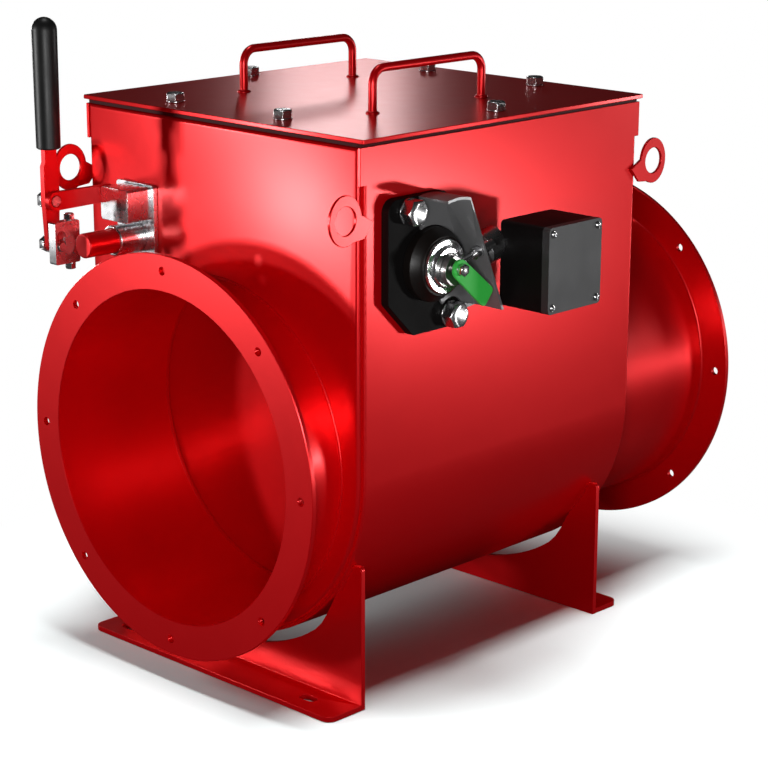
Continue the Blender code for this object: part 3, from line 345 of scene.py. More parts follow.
def makeBoltTree(look):
    # hexagon heads with a washer and a turned chamfer, one on each point
    tree, start, end = newShapeTree("boltSet", [
        ("Flats", "NodeSocketFloat", 0.016), ("Head", "NodeSocketFloat", 0.009),
        ("Washer", "NodeSocketFloat", 0.009), ("Washer Thick", "NodeSocketFloat", 0.0014),
        ("Turn", "NodeSocketRotation", None), ("Spin", "NodeSocketFloat", 0.0)])
    hexagon = addNode(tree, "GeometryNodeMeshCylinder")
    hexagon.inputs["Vertices"].default_value = 6
    tree.links.new(mathOf(tree, "DIVIDE", start.outputs["Flats"], math.sqrt(3)), hexagon.inputs["Radius"])
    tree.links.new(start.outputs["Head"], hexagon.inputs["Depth"])
    cone = addNode(tree, "GeometryNodeMeshCone")
    cone.inputs["Vertices"].default_value = facets["bolt"]
    crown = mathOf(tree, "MULTIPLY", start.outputs["Flats"], look["flat"])
    run = mathOf(tree, "MULTIPLY", start.outputs["Head"], look["run"])
    tree.links.new(crown, cone.inputs["Radius Top"])
    tree.links.new(mathOf(tree, "ADD", crown, run), cone.inputs["Radius Bottom"])
    tree.links.new(start.outputs["Head"], cone.inputs["Depth"])
    drop = addNode(tree, "GeometryNodeTransform")
    tree.links.new(cone.outputs["Mesh"], drop.inputs["Geometry"])
    half = mathOf(tree, "MULTIPLY", start.outputs["Head"], -0.5)
    tree.links.new(vectorOf(tree, 0.0, 0.0, half), drop.inputs["Translation"])
    cut = addNode(tree, "GeometryNodeMeshBoolean", operation="INTERSECT", solver="EXACT")
    tree.links.new(hexagon.outputs["Mesh"], cut.inputs["Mesh 2"])
    tree.links.new(drop.outputs["Geometry"], cut.inputs["Mesh 2"])
    head = addNode(tree, "GeometryNodeTransform")
    tree.links.new(cut.outputs["Mesh"], head.inputs["Geometry"])
    middle = mathOf(tree, "MULTIPLY", start.outputs["Head"], 0.5)
    lift = mathOf(tree, "ADD", middle, start.outputs["Washer Thick"])
    tree.links.new(vectorOf(tree, 0.0, 0.0, lift), head.inputs["Translation"])
    tree.links.new(vectorOf(tree, 0.0, 0.0, start.outputs["Spin"]), head.inputs["Rotation"])
    washer = addNode(tree, "GeometryNodeMeshCylinder")
    washer.inputs["Vertices"].default_value = facets["bolt"]
    tree.links.new(start.outputs["Washer"], washer.inputs["Radius"])
    tree.links.new(start.outputs["Washer Thick"], washer.inputs["Depth"])
    seat = addNode(tree, "GeometryNodeTransform")
    tree.links.new(washer.outputs["Mesh"], seat.inputs["Geometry"])
    raised = mathOf(tree, "MULTIPLY", start.outputs["Washer Thick"], 0.5)
    tree.links.new(vectorOf(tree, 0.0, 0.0, raised), seat.inputs["Translation"])
    both = addNode(tree, "GeometryNodeJoinGeometry")
    tree.links.new(seat.outputs["Geometry"], both.inputs["Geometry"])
    tree.links.new(head.outputs["Geometry"], both.inputs["Geometry"])
    spread = addNode(tree, "GeometryNodeInstanceOnPoints")
    tree.links.new(start.outputs["Geometry"], spread.inputs["Points"])
    tree.links.new(both.outputs["Geometry"], spread.inputs["Instance"])
    tree.links.new(start.outputs["Turn"], spread.inputs["Rotation"])
    closeTree(tree, start, end, spread.outputs["Instances"])
    return tree


def makeScrewTree():
    # small round heads with a slot, one on each point
    tree, start, end = newShapeTree("screwSet", [
        ("Radius", "NodeSocketFloat", 0.0036), ("Head", "NodeSocketFloat", 0.0022),
        ("Slot", "NodeSocketFloat", 0.0009), ("Turn", "NodeSocketRotation", None)])
    ball = addNode(tree, "GeometryNodeMeshUVSphere")
    ball.inputs["Segments"].default_value = facets["screw"]
    ball.inputs["Rings"].default_value = facets["screwRings"]
    tree.links.new(start.outputs["Radius"], ball.inputs["Radius"])
    squash = addNode(tree, "GeometryNodeTransform")
    tree.links.new(ball.outputs["Mesh"], squash.inputs["Geometry"])
    flatter = mathOf(tree, "DIVIDE", start.outputs["Head"], start.outputs["Radius"])
    tree.links.new(vectorOf(tree, 1.0, 1.0, flatter), squash.inputs["Scale"])
    slot = addNode(tree, "GeometryNodeMeshCube")
    wide = mathOf(tree, "MULTIPLY", start.outputs["Radius"], 3.0)  # past both rims
    tree.links.new(vectorOf(tree, wide, start.outputs["Slot"], start.outputs["Head"]), slot.inputs["Size"])
    raised = addNode(tree, "GeometryNodeTransform")
    tree.links.new(slot.outputs["Mesh"], raised.inputs["Geometry"])
    tree.links.new(vectorOf(tree, 0.0, 0.0, start.outputs["Head"]), raised.inputs["Translation"])
    cut = addNode(tree, "GeometryNodeMeshBoolean", operation="DIFFERENCE", solver="EXACT")
    tree.links.new(squash.outputs["Geometry"], cut.inputs["Mesh 1"])
    tree.links.new(raised.outputs["Geometry"], cut.inputs["Mesh 2"])
    spread = addNode(tree, "GeometryNodeInstanceOnPoints")
    tree.links.new(start.outputs["Geometry"], spread.inputs["Points"])
    tree.links.new(cut.outputs["Mesh"], spread.inputs["Instance"])
    tree.links.new(start.outputs["Turn"], spread.inputs["Rotation"])
    closeTree(tree, start, end, spread.outputs["Instances"])
    return tree


def makeBarTree():
    # a round bar along a bent line
    tree, start, end = newShapeTree("bentBar", [
        ("Bend", "NodeSocketFloat", 0.014), ("Radius", "NodeSocketFloat", 0.004),
        ("Sides", "NodeSocketInt", 20), ("Steps", "NodeSocketInt", 10)])
    line = addNode(tree, "GeometryNodeMeshToCurve")
    tree.links.new(start.outputs["Geometry"], line.inputs["Mesh"])
    bent = addNode(tree, "GeometryNodeFilletCurve", mode="POLY")
    tree.links.new(line.outputs["Curve"], bent.inputs["Curve"])
    tree.links.new(start.outputs["Bend"], bent.inputs["Radius"])
    tree.links.new(start.outputs["Steps"], bent.inputs["Count"])
    ring = addNode(tree, "GeometryNodeCurvePrimitiveCircle")
    tree.links.new(start.outputs["Sides"], ring.inputs["Resolution"])
    tree.links.new(start.outputs["Radius"], ring.inputs["Radius"])
    bar = addNode(tree, "GeometryNodeCurveToMesh")
    bar.inputs["Fill Caps"].default_value = True
    tree.links.new(bent.outputs["Curve"], bar.inputs["Curve"])
    tree.links.new(ring.outputs["Curve"], bar.inputs["Profile Curve"])
    closeTree(tree, start, end, bar.outputs["Mesh"])
    return tree


def makeBeadTree():
    # a weld bead along a line: a round section that swells and shrinks in ripples
    tree, start, end = newShapeTree("weldBead", [
        ("Radius", "NodeSocketFloat", 0.0012), ("Step", "NodeSocketFloat", 0.002),
        ("Ripple", "NodeSocketFloat", 0.06), ("Ripple Turn", "NodeSocketFloat", 2.1)])
    line = addNode(tree, "GeometryNodeMeshToCurve")
    tree.links.new(start.outputs["Geometry"], line.inputs["Mesh"])
    even = addNode(tree, "GeometryNodeResampleCurve", mode="LENGTH")
    tree.links.new(line.outputs["Curve"], even.inputs["Curve"])
    tree.links.new(start.outputs["Step"], even.inputs["Length"])
    spot = addNode(tree, "GeometryNodeInputIndex")
    phase = mathOf(tree, "MULTIPLY", spot.outputs["Index"], start.outputs["Ripple Turn"])
    wave = mathOf(tree, "SINE", phase)
    swell = mathOf(tree, "ADD", mathOf(tree, "MULTIPLY", wave, start.outputs["Ripple"]), 1.0)
    ring = addNode(tree, "GeometryNodeCurvePrimitiveCircle")
    ring.inputs["Resolution"].default_value = facets["bead"]
    tree.links.new(start.outputs["Radius"], ring.inputs["Radius"])
    bead = addNode(tree, "GeometryNodeCurveToMesh")
    bead.inputs["Fill Caps"].default_value = True
    tree.links.new(swell, bead.inputs["Scale"])
    tree.links.new(even.outputs["Curve"], bead.inputs["Curve"])
    tree.links.new(ring.outputs["Curve"], bead.inputs["Profile Curve"])
    closeTree(tree, start, end, bead.outputs["Mesh"])
    return tree


def makeDuctTree():
    # a duct stub with its flange turned from one profile, then the ring of flange holes
    # the seed's points are the profile, and each column of the grid is the profile at one angle
    tree, start, end = newShapeTree("ductStub", [
        ("Segments", "NodeSocketInt", 160), ("Rows", "NodeSocketInt", 10),
        ("Axis Place", "NodeSocketVector", (0.0, 0.0, 0.0)), ("Lean", "NodeSocketFloat", 0.0),
        ("Holes", "NodeSocketInt", 8), ("Bolt Circle", "NodeSocketFloat", 0.178),
        ("Hole Radius", "NodeSocketFloat", 0.0042), ("Face", "NodeSocketFloat", 0.0),
        ("Hole Depth", "NodeSocketFloat", 0.02)])
    sheet = addNode(tree, "GeometryNodeMeshGrid")
    tree.links.new(mathOf(tree, "ADD", start.outputs["Segments"], 1), sheet.inputs["Vertices X"])
    tree.links.new(start.outputs["Rows"], sheet.inputs["Vertices Y"])
    spot = addNode(tree, "GeometryNodeInputIndex")
    halfOn = mathOf(tree, "ADD", spot.outputs["Index"], 0.5)  # keeps the rounding down safe
    column = mathOf(tree, "FLOOR", mathOf(tree, "DIVIDE", halfOn, start.outputs["Rows"]))
    before = mathOf(tree, "MULTIPLY", column, start.outputs["Rows"])
    row = mathOf(tree, "SUBTRACT", spot.outputs["Index"], before)
    where = addNode(tree, "GeometryNodeInputPosition")
    point = addNode(tree, "GeometryNodeSampleIndex", data_type="FLOAT_VECTOR", domain="POINT")
    tree.links.new(start.outputs["Geometry"], point.inputs["Geometry"])
    tree.links.new(where.outputs["Position"], point.inputs["Value"])
    tree.links.new(row, point.inputs["Index"])
    parts = addNode(tree, "ShaderNodeSeparateXYZ")
    tree.links.new(point.outputs["Value"], parts.inputs[0])
    turn = mathOf(tree, "MULTIPLY", mathOf(tree, "DIVIDE", column, start.outputs["Segments"]), 2 * math.pi)
    across = mathOf(tree, "MULTIPLY", parts.outputs["X"], mathOf(tree, "COSINE", turn))
    upward = mathOf(tree, "MULTIPLY", parts.outputs["X"], mathOf(tree, "SINE", turn))
    lean = mathOf(tree, "MULTIPLY", upward, start.outputs["Lean"])
    leaning = mathOf(tree, "MULTIPLY", lean, parts.outputs["Z"])
    along = mathOf(tree, "SUBTRACT", parts.outputs["Y"], leaning)
    moved = addNode(tree, "ShaderNodeVectorMath", operation="ADD")
    tree.links.new(vectorOf(tree, across, along, upward), moved.inputs[0])
    tree.links.new(start.outputs["Axis Place"], moved.inputs[1])
    shaped = addNode(tree, "GeometryNodeSetPosition")
    tree.links.new(sheet.outputs["Mesh"], shaped.inputs["Geometry"])
    tree.links.new(moved.outputs[0], shaped.inputs["Position"])
    closed = addNode(tree, "GeometryNodeMergeByDistance")
    closed.inputs["Distance"].default_value = cleanLook["closeWithin"]
    tree.links.new(shaped.outputs["Geometry"], closed.inputs["Geometry"])
    ring = addNode(tree, "GeometryNodeMeshCircle")
    tree.links.new(start.outputs["Holes"], ring.inputs["Vertices"])
    tree.links.new(start.outputs["Bolt Circle"], ring.inputs["Radius"])
    drill = addNode(tree, "GeometryNodeMeshCylinder")
    drill.inputs["Vertices"].default_value = facets["drill"]
    tree.links.new(start.outputs["Hole Radius"], drill.inputs["Radius"])
    tree.links.new(start.outputs["Hole Depth"], drill.inputs["Depth"])
    drills = addNode(tree, "GeometryNodeInstanceOnPoints")
    tree.links.new(ring.outputs["Mesh"], drills.inputs["Points"])
    tree.links.new(drill.outputs["Mesh"], drills.inputs["Instance"])
    stood = addNode(tree, "GeometryNodeTransform")
    stood.inputs["Rotation"].default_value = (math.pi / 2, 0.0, 0.0)
    tree.links.new(drills.outputs["Instances"], stood.inputs["Geometry"])
    placed = addNode(tree, "GeometryNodeTransform")
    tree.links.new(stood.outputs["Geometry"], placed.inputs["Geometry"])
    atFace = addNode(tree, "ShaderNodeVectorMath", operation="ADD")
    tree.links.new(vectorOf(tree, 0.0, start.outputs["Face"], 0.0), atFace.inputs[0])
    tree.links.new(start.outputs["Axis Place"], atFace.inputs[1])
    tree.links.new(atFace.outputs[0], placed.inputs["Translation"])
    solid = addNode(tree, "GeometryNodeRealizeInstances")
    tree.links.new(placed.outputs["Geometry"], solid.inputs[0])
    cut = addNode(tree, "GeometryNodeMeshBoolean", operation="DIFFERENCE", solver="EXACT")
    tree.links.new(closed.outputs["Geometry"], cut.inputs["Mesh 1"])
    tree.links.new(solid.outputs[0], cut.inputs["Mesh 2"])
    closeTree(tree, start, end, cut.outputs["Mesh"])
    return tree


def bake(tree, name, points, edges, values):
    # the tree's result on a small input mesh, kept as a plain mesh
    seed = bpy.data.meshes.new(name + "_seed")
    seed.from_pydata([tuple(p) for p in points], edges, [])
    maker = bpy.data.objects.new(name + "_maker", seed)
    bpy.context.collection.objects.link(maker)
    shape = maker.modifiers.new("shape", "NODES")
    shape.node_group = tree
    for item in tree.interface.items_tree:
        if item.in_out == "INPUT" and item.name in values:
            shape[item.identifier] = values[item.name]
    graph = bpy.context.evaluated_depsgraph_get()
    mesh = bpy.data.meshes.new_from_object(maker.evaluated_get(graph), preserve_all_data_layers=True,
                                           depsgraph=graph)
    bpy.data.objects.remove(maker)
    mesh.name = name
    return mesh


def outwards(mesh):
    # every closed shell's faces turned outwards
    shape = bmesh.new()
    shape.from_mesh(mesh)
    bmesh.ops.remove_doubles(shape, verts=shape.verts, dist=cleanLook["shellWithin"])
    bmesh.ops.recalc_face_normals(shape, faces=shape.faces)
    shape.to_mesh(mesh)
    shape.free()
    return mesh


boltSet = makeBoltTree(chamferLook)
screwSet = makeScrewTree()
bentBar = makeBarTree()
weldBead = makeBeadTree()
ductStub = makeDuctTree()
print("shape trees made")

# rotations that turn a head from +Z
towards = {"up": (0.0, 0.0, 0.0), "right": (0.0, math.pi / 2, 0.0), "left": (0.0, -math.pi / 2, 0.0)}

lidBolt = {"flats": 0.016, "head": 0.0076, "washer": 0.0089, "washerThick": 0.0013}
bearingBolt = {"flats": 0.022, "head": 0.0118, "washer": 0.0122, "washerThick": 0.0020}
boltLook = {
    "lid": {**lidBolt, "turn": "up", "spin": 0.3, "edge": 0.0003},
    "bearingRight": {**bearingBolt, "turn": "right", "spin": 0.5, "edge": 0.0003},
    "bearingLeft": {**bearingBolt, "turn": "left", "spin": 0.2, "edge": 0.0003},
}
lidBoltPlaces = ("front_left", "front_right", "rear_left", "rear_right", "left", "right")
boltNodes = {
    "lid": ["lid_bolt_" + place for place in lidBoltPlaces],
    "bearingRight": ["bearing_bolt_right_upper", "bearing_bolt_right_lower"],
    "bearingLeft": ["bearing_bolt_left_upper", "bearing_bolt_left_lower"],
}
screwNodes = ["cover_screw_" + place for place in ("front_low", "front_high", "rear_low", "rear_high")]
handleNodes = ["lid_handle_left", "lid_handle_right"]


def headBase(nodeName, turn, head):
    # where a head stands: the outer end of the node, less the head
    low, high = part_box(nodeName)
    middle = (low + high) / 2
    if turn == "up":
        return (middle.x, middle.y, high.z - head)
    if turn == "right":
        return (high.x - head, middle.y, middle.z)
    return (low.x + head, middle.y, middle.z)


def makeBolts(name, look, nodeNames):
    full = look["head"] + look["washerThick"]
    points = [headBase(node, look["turn"], full) for node in nodeNames]
    mesh = bake(boltSet, name + "_bolts", points, [], {
        "Flats": look["flats"], "Head": look["head"], "Washer": look["washer"],
        "Washer Thick": look["washerThick"], "Turn": towards[look["turn"]], "Spin": look["spin"],
        "Material": materials["brightSteel"]})
    piece = dress(name + "_bolts", outwards(mesh), nodeNames, look["edge"])
    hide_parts(*nodeNames)


screwLook = {"radius": 0.0036, "head": 0.0023, "slot": 0.0009}


def makeCoverScrews(look, nodeNames):
    points = [headBase(node, "right", look["head"]) for node in nodeNames]
    mesh = bake(screwSet, "cover_screws", points, [], {
        "Radius": look["radius"], "Head": look["head"], "Slot": look["slot"], "Turn": towards["right"],
        "Material": materials["brightSteel"]})
    piece = dress("cover_screws", outwards(mesh), nodeNames)
    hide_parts(*nodeNames)


def ringTurns(count):
    # the angles of evenly spaced points on a closed ring
    return [2 * math.pi * k / count for k in range(count)]


def arcTurns(start, end, steps):
    # the angles along an open arc given in degrees, both ends included
    return [math.radians(start + (end - start) * k / steps) for k in range(steps + 1)]


# the ripple's step is a share of the bead's radius, and its turn is in radians per step
rippleLook = {"step": 1.5, "height": 0.05, "turn": 2.1, "smoothBelow": 60}


def makeBead(name, points, closed, radius, carrier):
    # a painted weld bead through the points, on the body of its carrier
    count = len(points)
    edges = [(i, i + 1) for i in range(count - 1)]
    if closed:
        edges.append((count - 1, 0))
    mesh = bake(weldBead, name + "_bead", points, edges, {
        "Radius": radius, "Step": radius * rippleLook["step"], "Ripple": rippleLook["height"],
        "Ripple Turn": rippleLook["turn"], "Material": materials["redPaint"]})
    dress(name + "_bead", outwards(mesh), [carrier], smooth=rippleLook["smoothBelow"])


handleLook = {"radius": 0.0041, "bend": 0.0145, "sides": 20, "steps": 10,
              "footBead": 0.0022, "footOut": 0.0004, "footSunk": 0.0002, "footPoints": 20}


def makeHandle(nodeName, look):
    low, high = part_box(nodeName)
    middle = (low + high) / 2
    reach = look["radius"]
    front, rear = low.y + reach, high.y - reach
    crown = high.z - reach
    points = [(middle.x, front, low.z), (middle.x, front, crown),
              (middle.x, rear, crown), (middle.x, rear, low.z)]
    mesh = bake(bentBar, nodeName + "_bar", points, [(0, 1), (1, 2), (2, 3)], {
        "Bend": look["bend"], "Radius": reach, "Sides": look["sides"], "Steps": look["steps"],
        "Material": materials["redPaint"]})
    piece = dress(nodeName + "_bar", outwards(mesh), [nodeName])
    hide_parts(nodeName)
    foot = reach + look["footOut"]
    for word, y in (("front", front), ("rear", rear)):
        ring = [(middle.x + foot * math.cos(turn), y + foot * math.sin(turn), low.z - look["footSunk"])
                for turn in ringTurns(look["footPoints"])]
        makeBead("%s_foot_%s" % (nodeName, word), ring, True, look["footBead"], "lid")


# "side" is -1 where the flange faces the front and 1 where it faces the rear
# "seatLean" is the tilt of the stub's inner end in degrees
stubLook = {"sheet": 0.002, "fillet": 0.0030, "filletSteps": 4, "edge": 0.0006, "segments": 160,
            "holes": 8, "holeRadius": 0.0042, "boltCircle": 0.178, "drillDepth": 0.02}
ductLook = {
    "inlet": {**stubLook, "side": -1, "seatLean": 4.0},
    "outlet": {**stubLook, "side": 1, "seatLean": 0.0},
}


def makeDuct(name, look):
    # the flange and its tube read as one welded and painted piece
    tubeLow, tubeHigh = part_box(name + "_tube")
    flangeLow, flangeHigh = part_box(name + "_flange")
    side = look["side"]
    axisX = (tubeLow.x + tubeHigh.x) / 2
    axisZ = (flangeLow.z + flangeHigh.z) / 2
    outer = (tubeHigh.x - tubeLow.x) / 2
    bore = outer - look["sheet"]
    rim = (flangeHigh.x - flangeLow.x) / 2
    face, back = (flangeLow.y, flangeHigh.y) if side < 0 else (flangeHigh.y, flangeLow.y)
    slope = math.tan(math.radians(look["seatLean"]))
    deep = (tubeHigh.y - outer * slope) if side < 0 else tubeLow.y
    edge, fillet, steps = look["edge"], look["fillet"], look["filletSteps"]
    # radius, place along the axis, and 1 where the point leans with the seat
    profile = [(bore, face - side * edge, 0), (bore + edge, face, 0), (rim - edge, face, 0),
               (rim, face - side * edge, 0), (rim, back + side * edge, 0), (rim - edge, back, 0),
               (outer + fillet, back, 0)]
    for k in range(1, steps + 1):
        turn = math.pi / 2 * k / steps
        out, up = fillet * (1 - math.sin(turn)), fillet * (1 - math.cos(turn))
        profile.append((outer + out, back - side * up, 0))
    profile += [(outer, deep, 1), (bore, deep, 1), (bore, face - side * edge, 0)]
    mesh = bake(ductStub, name + "_duct", profile, [], {
        "Segments": look["segments"], "Rows": len(profile), "Axis Place": (axisX, 0.0, axisZ), "Lean": slope,
        "Holes": look["holes"], "Bolt Circle": look["boltCircle"], "Hole Radius": look["holeRadius"],
        "Face": (face + back) / 2, "Hole Depth": look["drillDepth"], "Material": materials["redPaint"]})
    piece = dress(name + "_duct", outwards(mesh), [name + "_tube", name + "_flange"])
    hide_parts(name + "_tube", name + "_flange")


# bead radii, and where the seams lie: the plates' seams from the casing's middle, the legs' in degrees
beadLook = {
    "tube": 0.0014, "tubeOut": 0.0003, "tubePoints": 96,
    "corner": 0.0021, "cornerHalf": 0.1875, "cornerIn": 0.0022, "cornerTop": 0.4923, "cornerSteps": 48,
    "saddle": 0.0013, "saddleOut": 0.0002, "saddleSteps": 12, "legPlate": 0.005,
    "frontLegSetback": 0.0422, "saddleArcs": {"left": (211, 219), "right": (321, 333)},
}


def makeCasingBeads(look):
    # the seams that join the sheets, stubs and legs, painted over
    shellLow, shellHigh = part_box("casing_shell")
    tubeLow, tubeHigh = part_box("inlet_tube")
    axisX = (tubeLow.x + tubeHigh.x) / 2
    axisZ = (tubeLow.z + tubeHigh.z) / 2

    def around(radius, y, turns):
        return [(axisX + radius * math.cos(turn), y, axisZ + radius * math.sin(turn)) for turn in turns]

    outer = (tubeHigh.x - tubeLow.x) / 2 + look["tubeOut"]
    plateFaces = {"front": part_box("front_plate")[0].y, "rear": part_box("rear_plate")[1].y}
    for word, y in plateFaces.items():
        ring = around(outer, y, ringTurns(look["tubePoints"]))
        makeBead(word + "_tube_seam", ring, True, look["tube"], "casing_shell")
    halfWidth = (shellHigh.x - shellLow.x) / 2
    middleY = (shellLow.y + shellHigh.y) / 2
    reach = halfWidth - look["cornerIn"]
    for word, y in (("front", middleY - look["cornerHalf"]), ("rear", middleY + look["cornerHalf"])):
        belly = around(reach, y, arcTurns(180, 360, look["cornerSteps"]))
        line = [(axisX - reach, y, look["cornerTop"])] + belly + [(axisX + reach, y, look["cornerTop"])]
        makeBead(word + "_corner_seam", line, False, look["corner"], "casing_shell")
    saddle = halfWidth + look["saddleOut"]
    for word, setback in (("front", look["frontLegSetback"]), ("rear", 0.0)):
        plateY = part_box(word + "_leg")[0].y + setback
        for tag, y in (("near", plateY), ("far", plateY + look["legPlate"])):
            for hand, (start, end) in look["saddleArcs"].items():
                line = around(saddle, y, arcTurns(start, end, look["saddleSteps"]))
                makeBead("%s_leg_%s_%s" % (word, tag, hand), line, False, look["saddle"], "casing_shell")


ductNodes = [name + kind for name in ductLook for kind in ("_tube", "_flange")]
boltNodeNames = [node for nodes in boltNodes.values() for node in nodes]
madeNodes = ductNodes + handleNodes + screwNodes + boltNodeNames
for nodeName in sorted(frame["nodes"]):
    if nodeName not in madeNodes:
        skinOf(nodeName, edgeOfNode.get(nodeName, edgeLook["usual"]))
for boltName, boltNames in boltNodes.items():
    makeBolts(boltName, boltLook[boltName], boltNames)
makeCoverScrews(screwLook, screwNodes)
for handleName in handleNodes:
    makeHandle(handleName, handleLook)
for ductName, look in ductLook.items():
    makeDuct(ductName, look)
makeCasingBeads(beadLook)
print("pieces dressed")

# the paper has one tone for the camera, and darker ones for bounced light and in mirrors
stageLook = {"paperColour": (0.87, 0.95, 0.95), "bounceTone": 0.08, "mirrorTone": 0.02, "roughness": 0.9,
             "floorSize": 16.0, "floorLevel": -0.0005,
             "fadeAround": (0.06, -0.08, 0.0), "fadeStart": 0.28, "fadeEnd": 0.58}
worldLook = {"fill": 0.03, "mirror": 0.01}


def makeFloor(look):
    # pale paper that keeps the shadow near the valve and fades into the white background
    half, level = look["floorSize"] / 2, look["floorLevel"]
    mesh = bpy.data.meshes.new("floor")
    corners = [(-half, -half, level), (half, -half, level), (half, half, level), (-half, half, level)]
    mesh.from_pydata(corners, [], [(0, 1, 2, 3)])
    floor = bpy.data.objects.new("floor", mesh)
    bpy.context.collection.objects.link(floor)
    material, tree, shader = startMaterial("floorPaper")
    path = addNode(tree, "ShaderNodeLightPath")
    glossy = addNode(tree, "ShaderNodeMix", data_type="RGBA")
    tree.links.new(path.outputs["Is Glossy Ray"], glossy.inputs["Factor"])
    glossy.inputs["A"].default_value = (look["bounceTone"],) * 3 + (1.0,)
    glossy.inputs["B"].default_value = (look["mirrorTone"],) * 3 + (1.0,)
    mix = addNode(tree, "ShaderNodeMix", data_type="RGBA")
    tree.links.new(path.outputs["Is Camera Ray"], mix.inputs["Factor"])
    tree.links.new(glossy.outputs["Result"], mix.inputs["A"])
    mix.inputs["B"].default_value = (*look["paperColour"], 1.0)
    tree.links.new(mix.outputs["Result"], shader.inputs["Base Color"])
    shader.inputs["Roughness"].default_value = look["roughness"]
    shader.inputs["Specular IOR Level"].default_value = 0.0
    place = addNode(tree, "ShaderNodeTexCoord")
    away = addNode(tree, "ShaderNodeVectorMath", operation="DISTANCE")
    tree.links.new(place.outputs["Object"], away.inputs[0])
    away.inputs[1].default_value = look["fadeAround"]
    fade = addNode(tree, "ShaderNodeMapRange", interpolation_type="SMOOTHSTEP")
    fade.inputs["From Min"].default_value = look["fadeStart"]
    fade.inputs["From Max"].default_value = look["fadeEnd"]
    tree.links.new(away.outputs["Value"], fade.inputs["Value"])
    seen = mathOf(tree, "MULTIPLY", fade.outputs["Result"], path.outputs["Is Camera Ray"])
    white = addNode(tree, "ShaderNodeEmission")
    both = addNode(tree, "ShaderNodeMixShader")
    tree.links.new(seen, both.inputs[0])
    tree.links.new(shader.outputs["BSDF"], both.inputs[1])
    tree.links.new(white.outputs["Emission"], both.inputs[2])
    tree.links.new(both.outputs["Shader"], tree.nodes["Material Output"].inputs["Surface"])
    mesh.materials.append(material)
    return floor


def makeWorld(look):
    # white for the camera, nearly dark for light and mirrors
    world = bpy.data.worlds.new("studio")
    bpy.context.scene.world = world
    world.use_nodes = True
    tree = world.node_tree
    background = tree.nodes["Background"]
    path = addNode(tree, "ShaderNodeLightPath")
    mirrored = addNode(tree, "ShaderNodeMix", data_type="RGBA")
    mirrored.inputs["A"].default_value = (look["fill"],) * 3 + (1.0,)
    mirrored.inputs["B"].default_value = (look["mirror"],) * 3 + (1.0,)
    tree.links.new(path.outputs["Is Glossy Ray"], mirrored.inputs["Factor"])
    seen = addNode(tree, "ShaderNodeMix", data_type="RGBA")
    tree.links.new(mirrored.outputs["Result"], seen.inputs["A"])
    seen.inputs["B"].default_value = (1.0, 1.0, 1.0, 1.0)
    tree.links.new(path.outputs["Is Camera Ray"], seen.inputs["Factor"])
    tree.links.new(seen.outputs["Result"], background.inputs["Color"])
    background.inputs["Strength"].default_value = 1.0


# each lamp's place, aim and size in metres and power in watts: "floorOnly" ones light nothing but the paper
lamps = {
    "left": {"at": (-1.38, -1.72, 0.60), "towards": (0.0, -0.1, 0.38), "size": (0.12, 0.12), "power": 8.5},
    "leftLow": {"at": (-1.26, -1.75, 0.22), "towards": (0.1, -0.2, 0.40), "size": (0.14, 0.20), "power": 8.0},
    "leftSide": {"at": (-2.0, 0.3, 0.60), "towards": (0.0, 0.0, 0.3), "size": (0.4, 0.4), "power": 7.0},
    "right": {"at": (1.27, 0.95, 0.13), "towards": (0.1, 0.0, 0.3), "size": (0.20, 0.08), "power": 3.2},
    "side": {"at": (1.75, -0.60, 0.30), "towards": (0.2, 0.0, 0.28), "size": (0.25, 0.25), "power": 4.0},
    "rearRight": {"at": (1.00, 2.15, 0.35), "towards": (0.1, 0.25, 0.3), "size": (0.3, 0.3), "power": 6.0},
    "back": {"at": (-1.44, 1.33, 0.98), "towards": (0.0, 0.0, 0.5), "size": (0.25, 0.20), "power": 0.95},
    "top": {"at": (-0.40, 0.0, 2.20), "towards": (0.0, 0.0, 0.4), "size": (0.20, 0.20), "power": 4.5},
    "front": {"at": (0.90, -1.05, 0.55), "towards": (0.2, -0.2, 0.35), "size": (0.2, 0.2), "power": 6.0},
    "paper": {"at": (0.12, -0.10, 1.90), "towards": (0.12, -0.10, 0.0), "size": (0.8, 0.8), "power": 80.0,
              "floorOnly": True},
    "paperLow": {"at": (-1.5, -1.0, 0.70), "towards": (-0.3, -0.2, 0.0), "size": (0.8, 0.5), "power": 18.0,
                 "floorOnly": True},
}


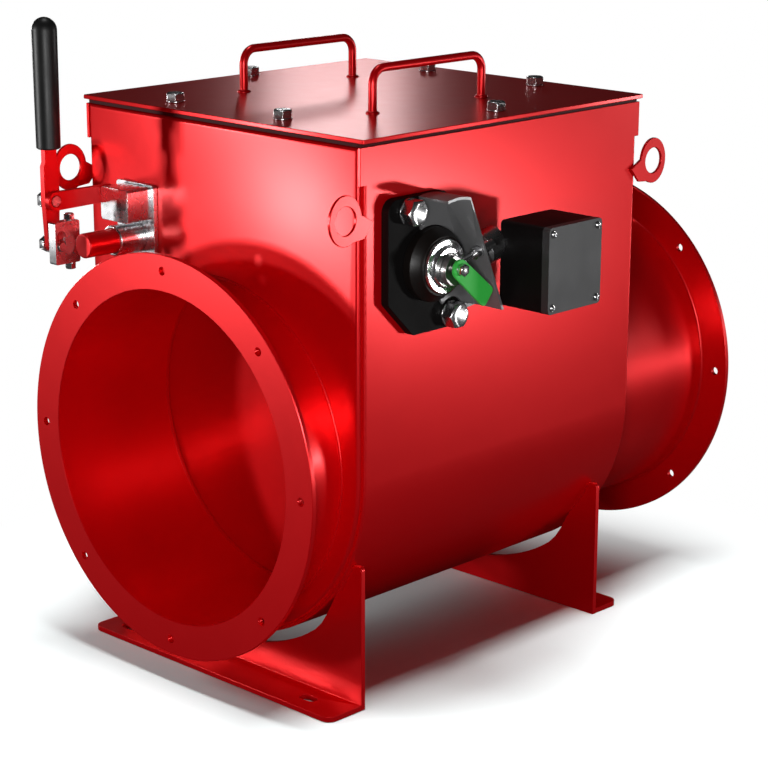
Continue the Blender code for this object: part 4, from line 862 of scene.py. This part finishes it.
onPaper = bpy.data.collections.new("onPaper")
offPaper = bpy.data.collections.new("offPaper")


def makeLamp(name, look):
    light = bpy.data.lights.new(name, "AREA")
    light.shape = "RECTANGLE"
    light.size, light.size_y = look["size"]
    light.energy = look["power"]
    lamp = bpy.data.objects.new(name, light)
    lamp.location = look["at"]
    aim = Vector(look["towards"]) - Vector(look["at"])
    lamp.rotation_euler = aim.to_track_quat("-Z", "Y").to_euler()
    bpy.context.collection.objects.link(lamp)
    lamp.light_linking.receiver_collection = onPaper if look.get("floorOnly") else offPaper


# the camera's place counts from the middle of the casing, on the floor; its angles are in degrees
cameraLook = {"from": (1.5263, -1.5605, 0.8498), "turn": 43.1437, "rise": 15.8316, "roll": 0.3576,
              "sensor": 36.0, "lens": 105.85, "shift": (-0.03513, 0.00867)}


def makeCamera(look):
    turn, rise, roll = (math.radians(look[key]) for key in ("turn", "rise", "roll"))
    back = Vector((math.sin(turn) * math.cos(rise), -math.cos(turn) * math.cos(rise), math.sin(rise)))
    right = Vector((math.cos(turn), math.sin(turn), 0.0))
    up = back.cross(right)
    leaned = right * math.cos(roll) + up * math.sin(roll)
    up = back.cross(leaned)
    data = bpy.data.cameras.new("camera")
    data.sensor_fit = "HORIZONTAL"
    data.sensor_width = look["sensor"]
    data.lens = look["lens"]
    data.shift_x, data.shift_y = look["shift"]
    camera = bpy.data.objects.new("camera", data)
    casing = middleOf("casing_shell")
    spot = Vector(look["from"]) + Vector((casing.x, casing.y, 0.0))
    camera.matrix_world = Matrix.Translation(spot) @ Matrix((leaned, up, back)).transposed().to_4x4()
    bpy.context.collection.objects.link(camera)
    bpy.context.scene.camera = camera


paper = makeFloor(stageLook)
for group, state in ((onPaper, "INCLUDE"), (offPaper, "EXCLUDE")):
    group.objects.link(paper)
    group.collection_objects[0].light_linking.link_state = state
makeWorld(worldLook)
for lampName, lampLook in lamps.items():
    makeLamp(lampName, lampLook)
makeCamera(cameraLook)
bpy.context.scene.view_settings.view_transform = "Standard"
print("stage, lamps and camera set")
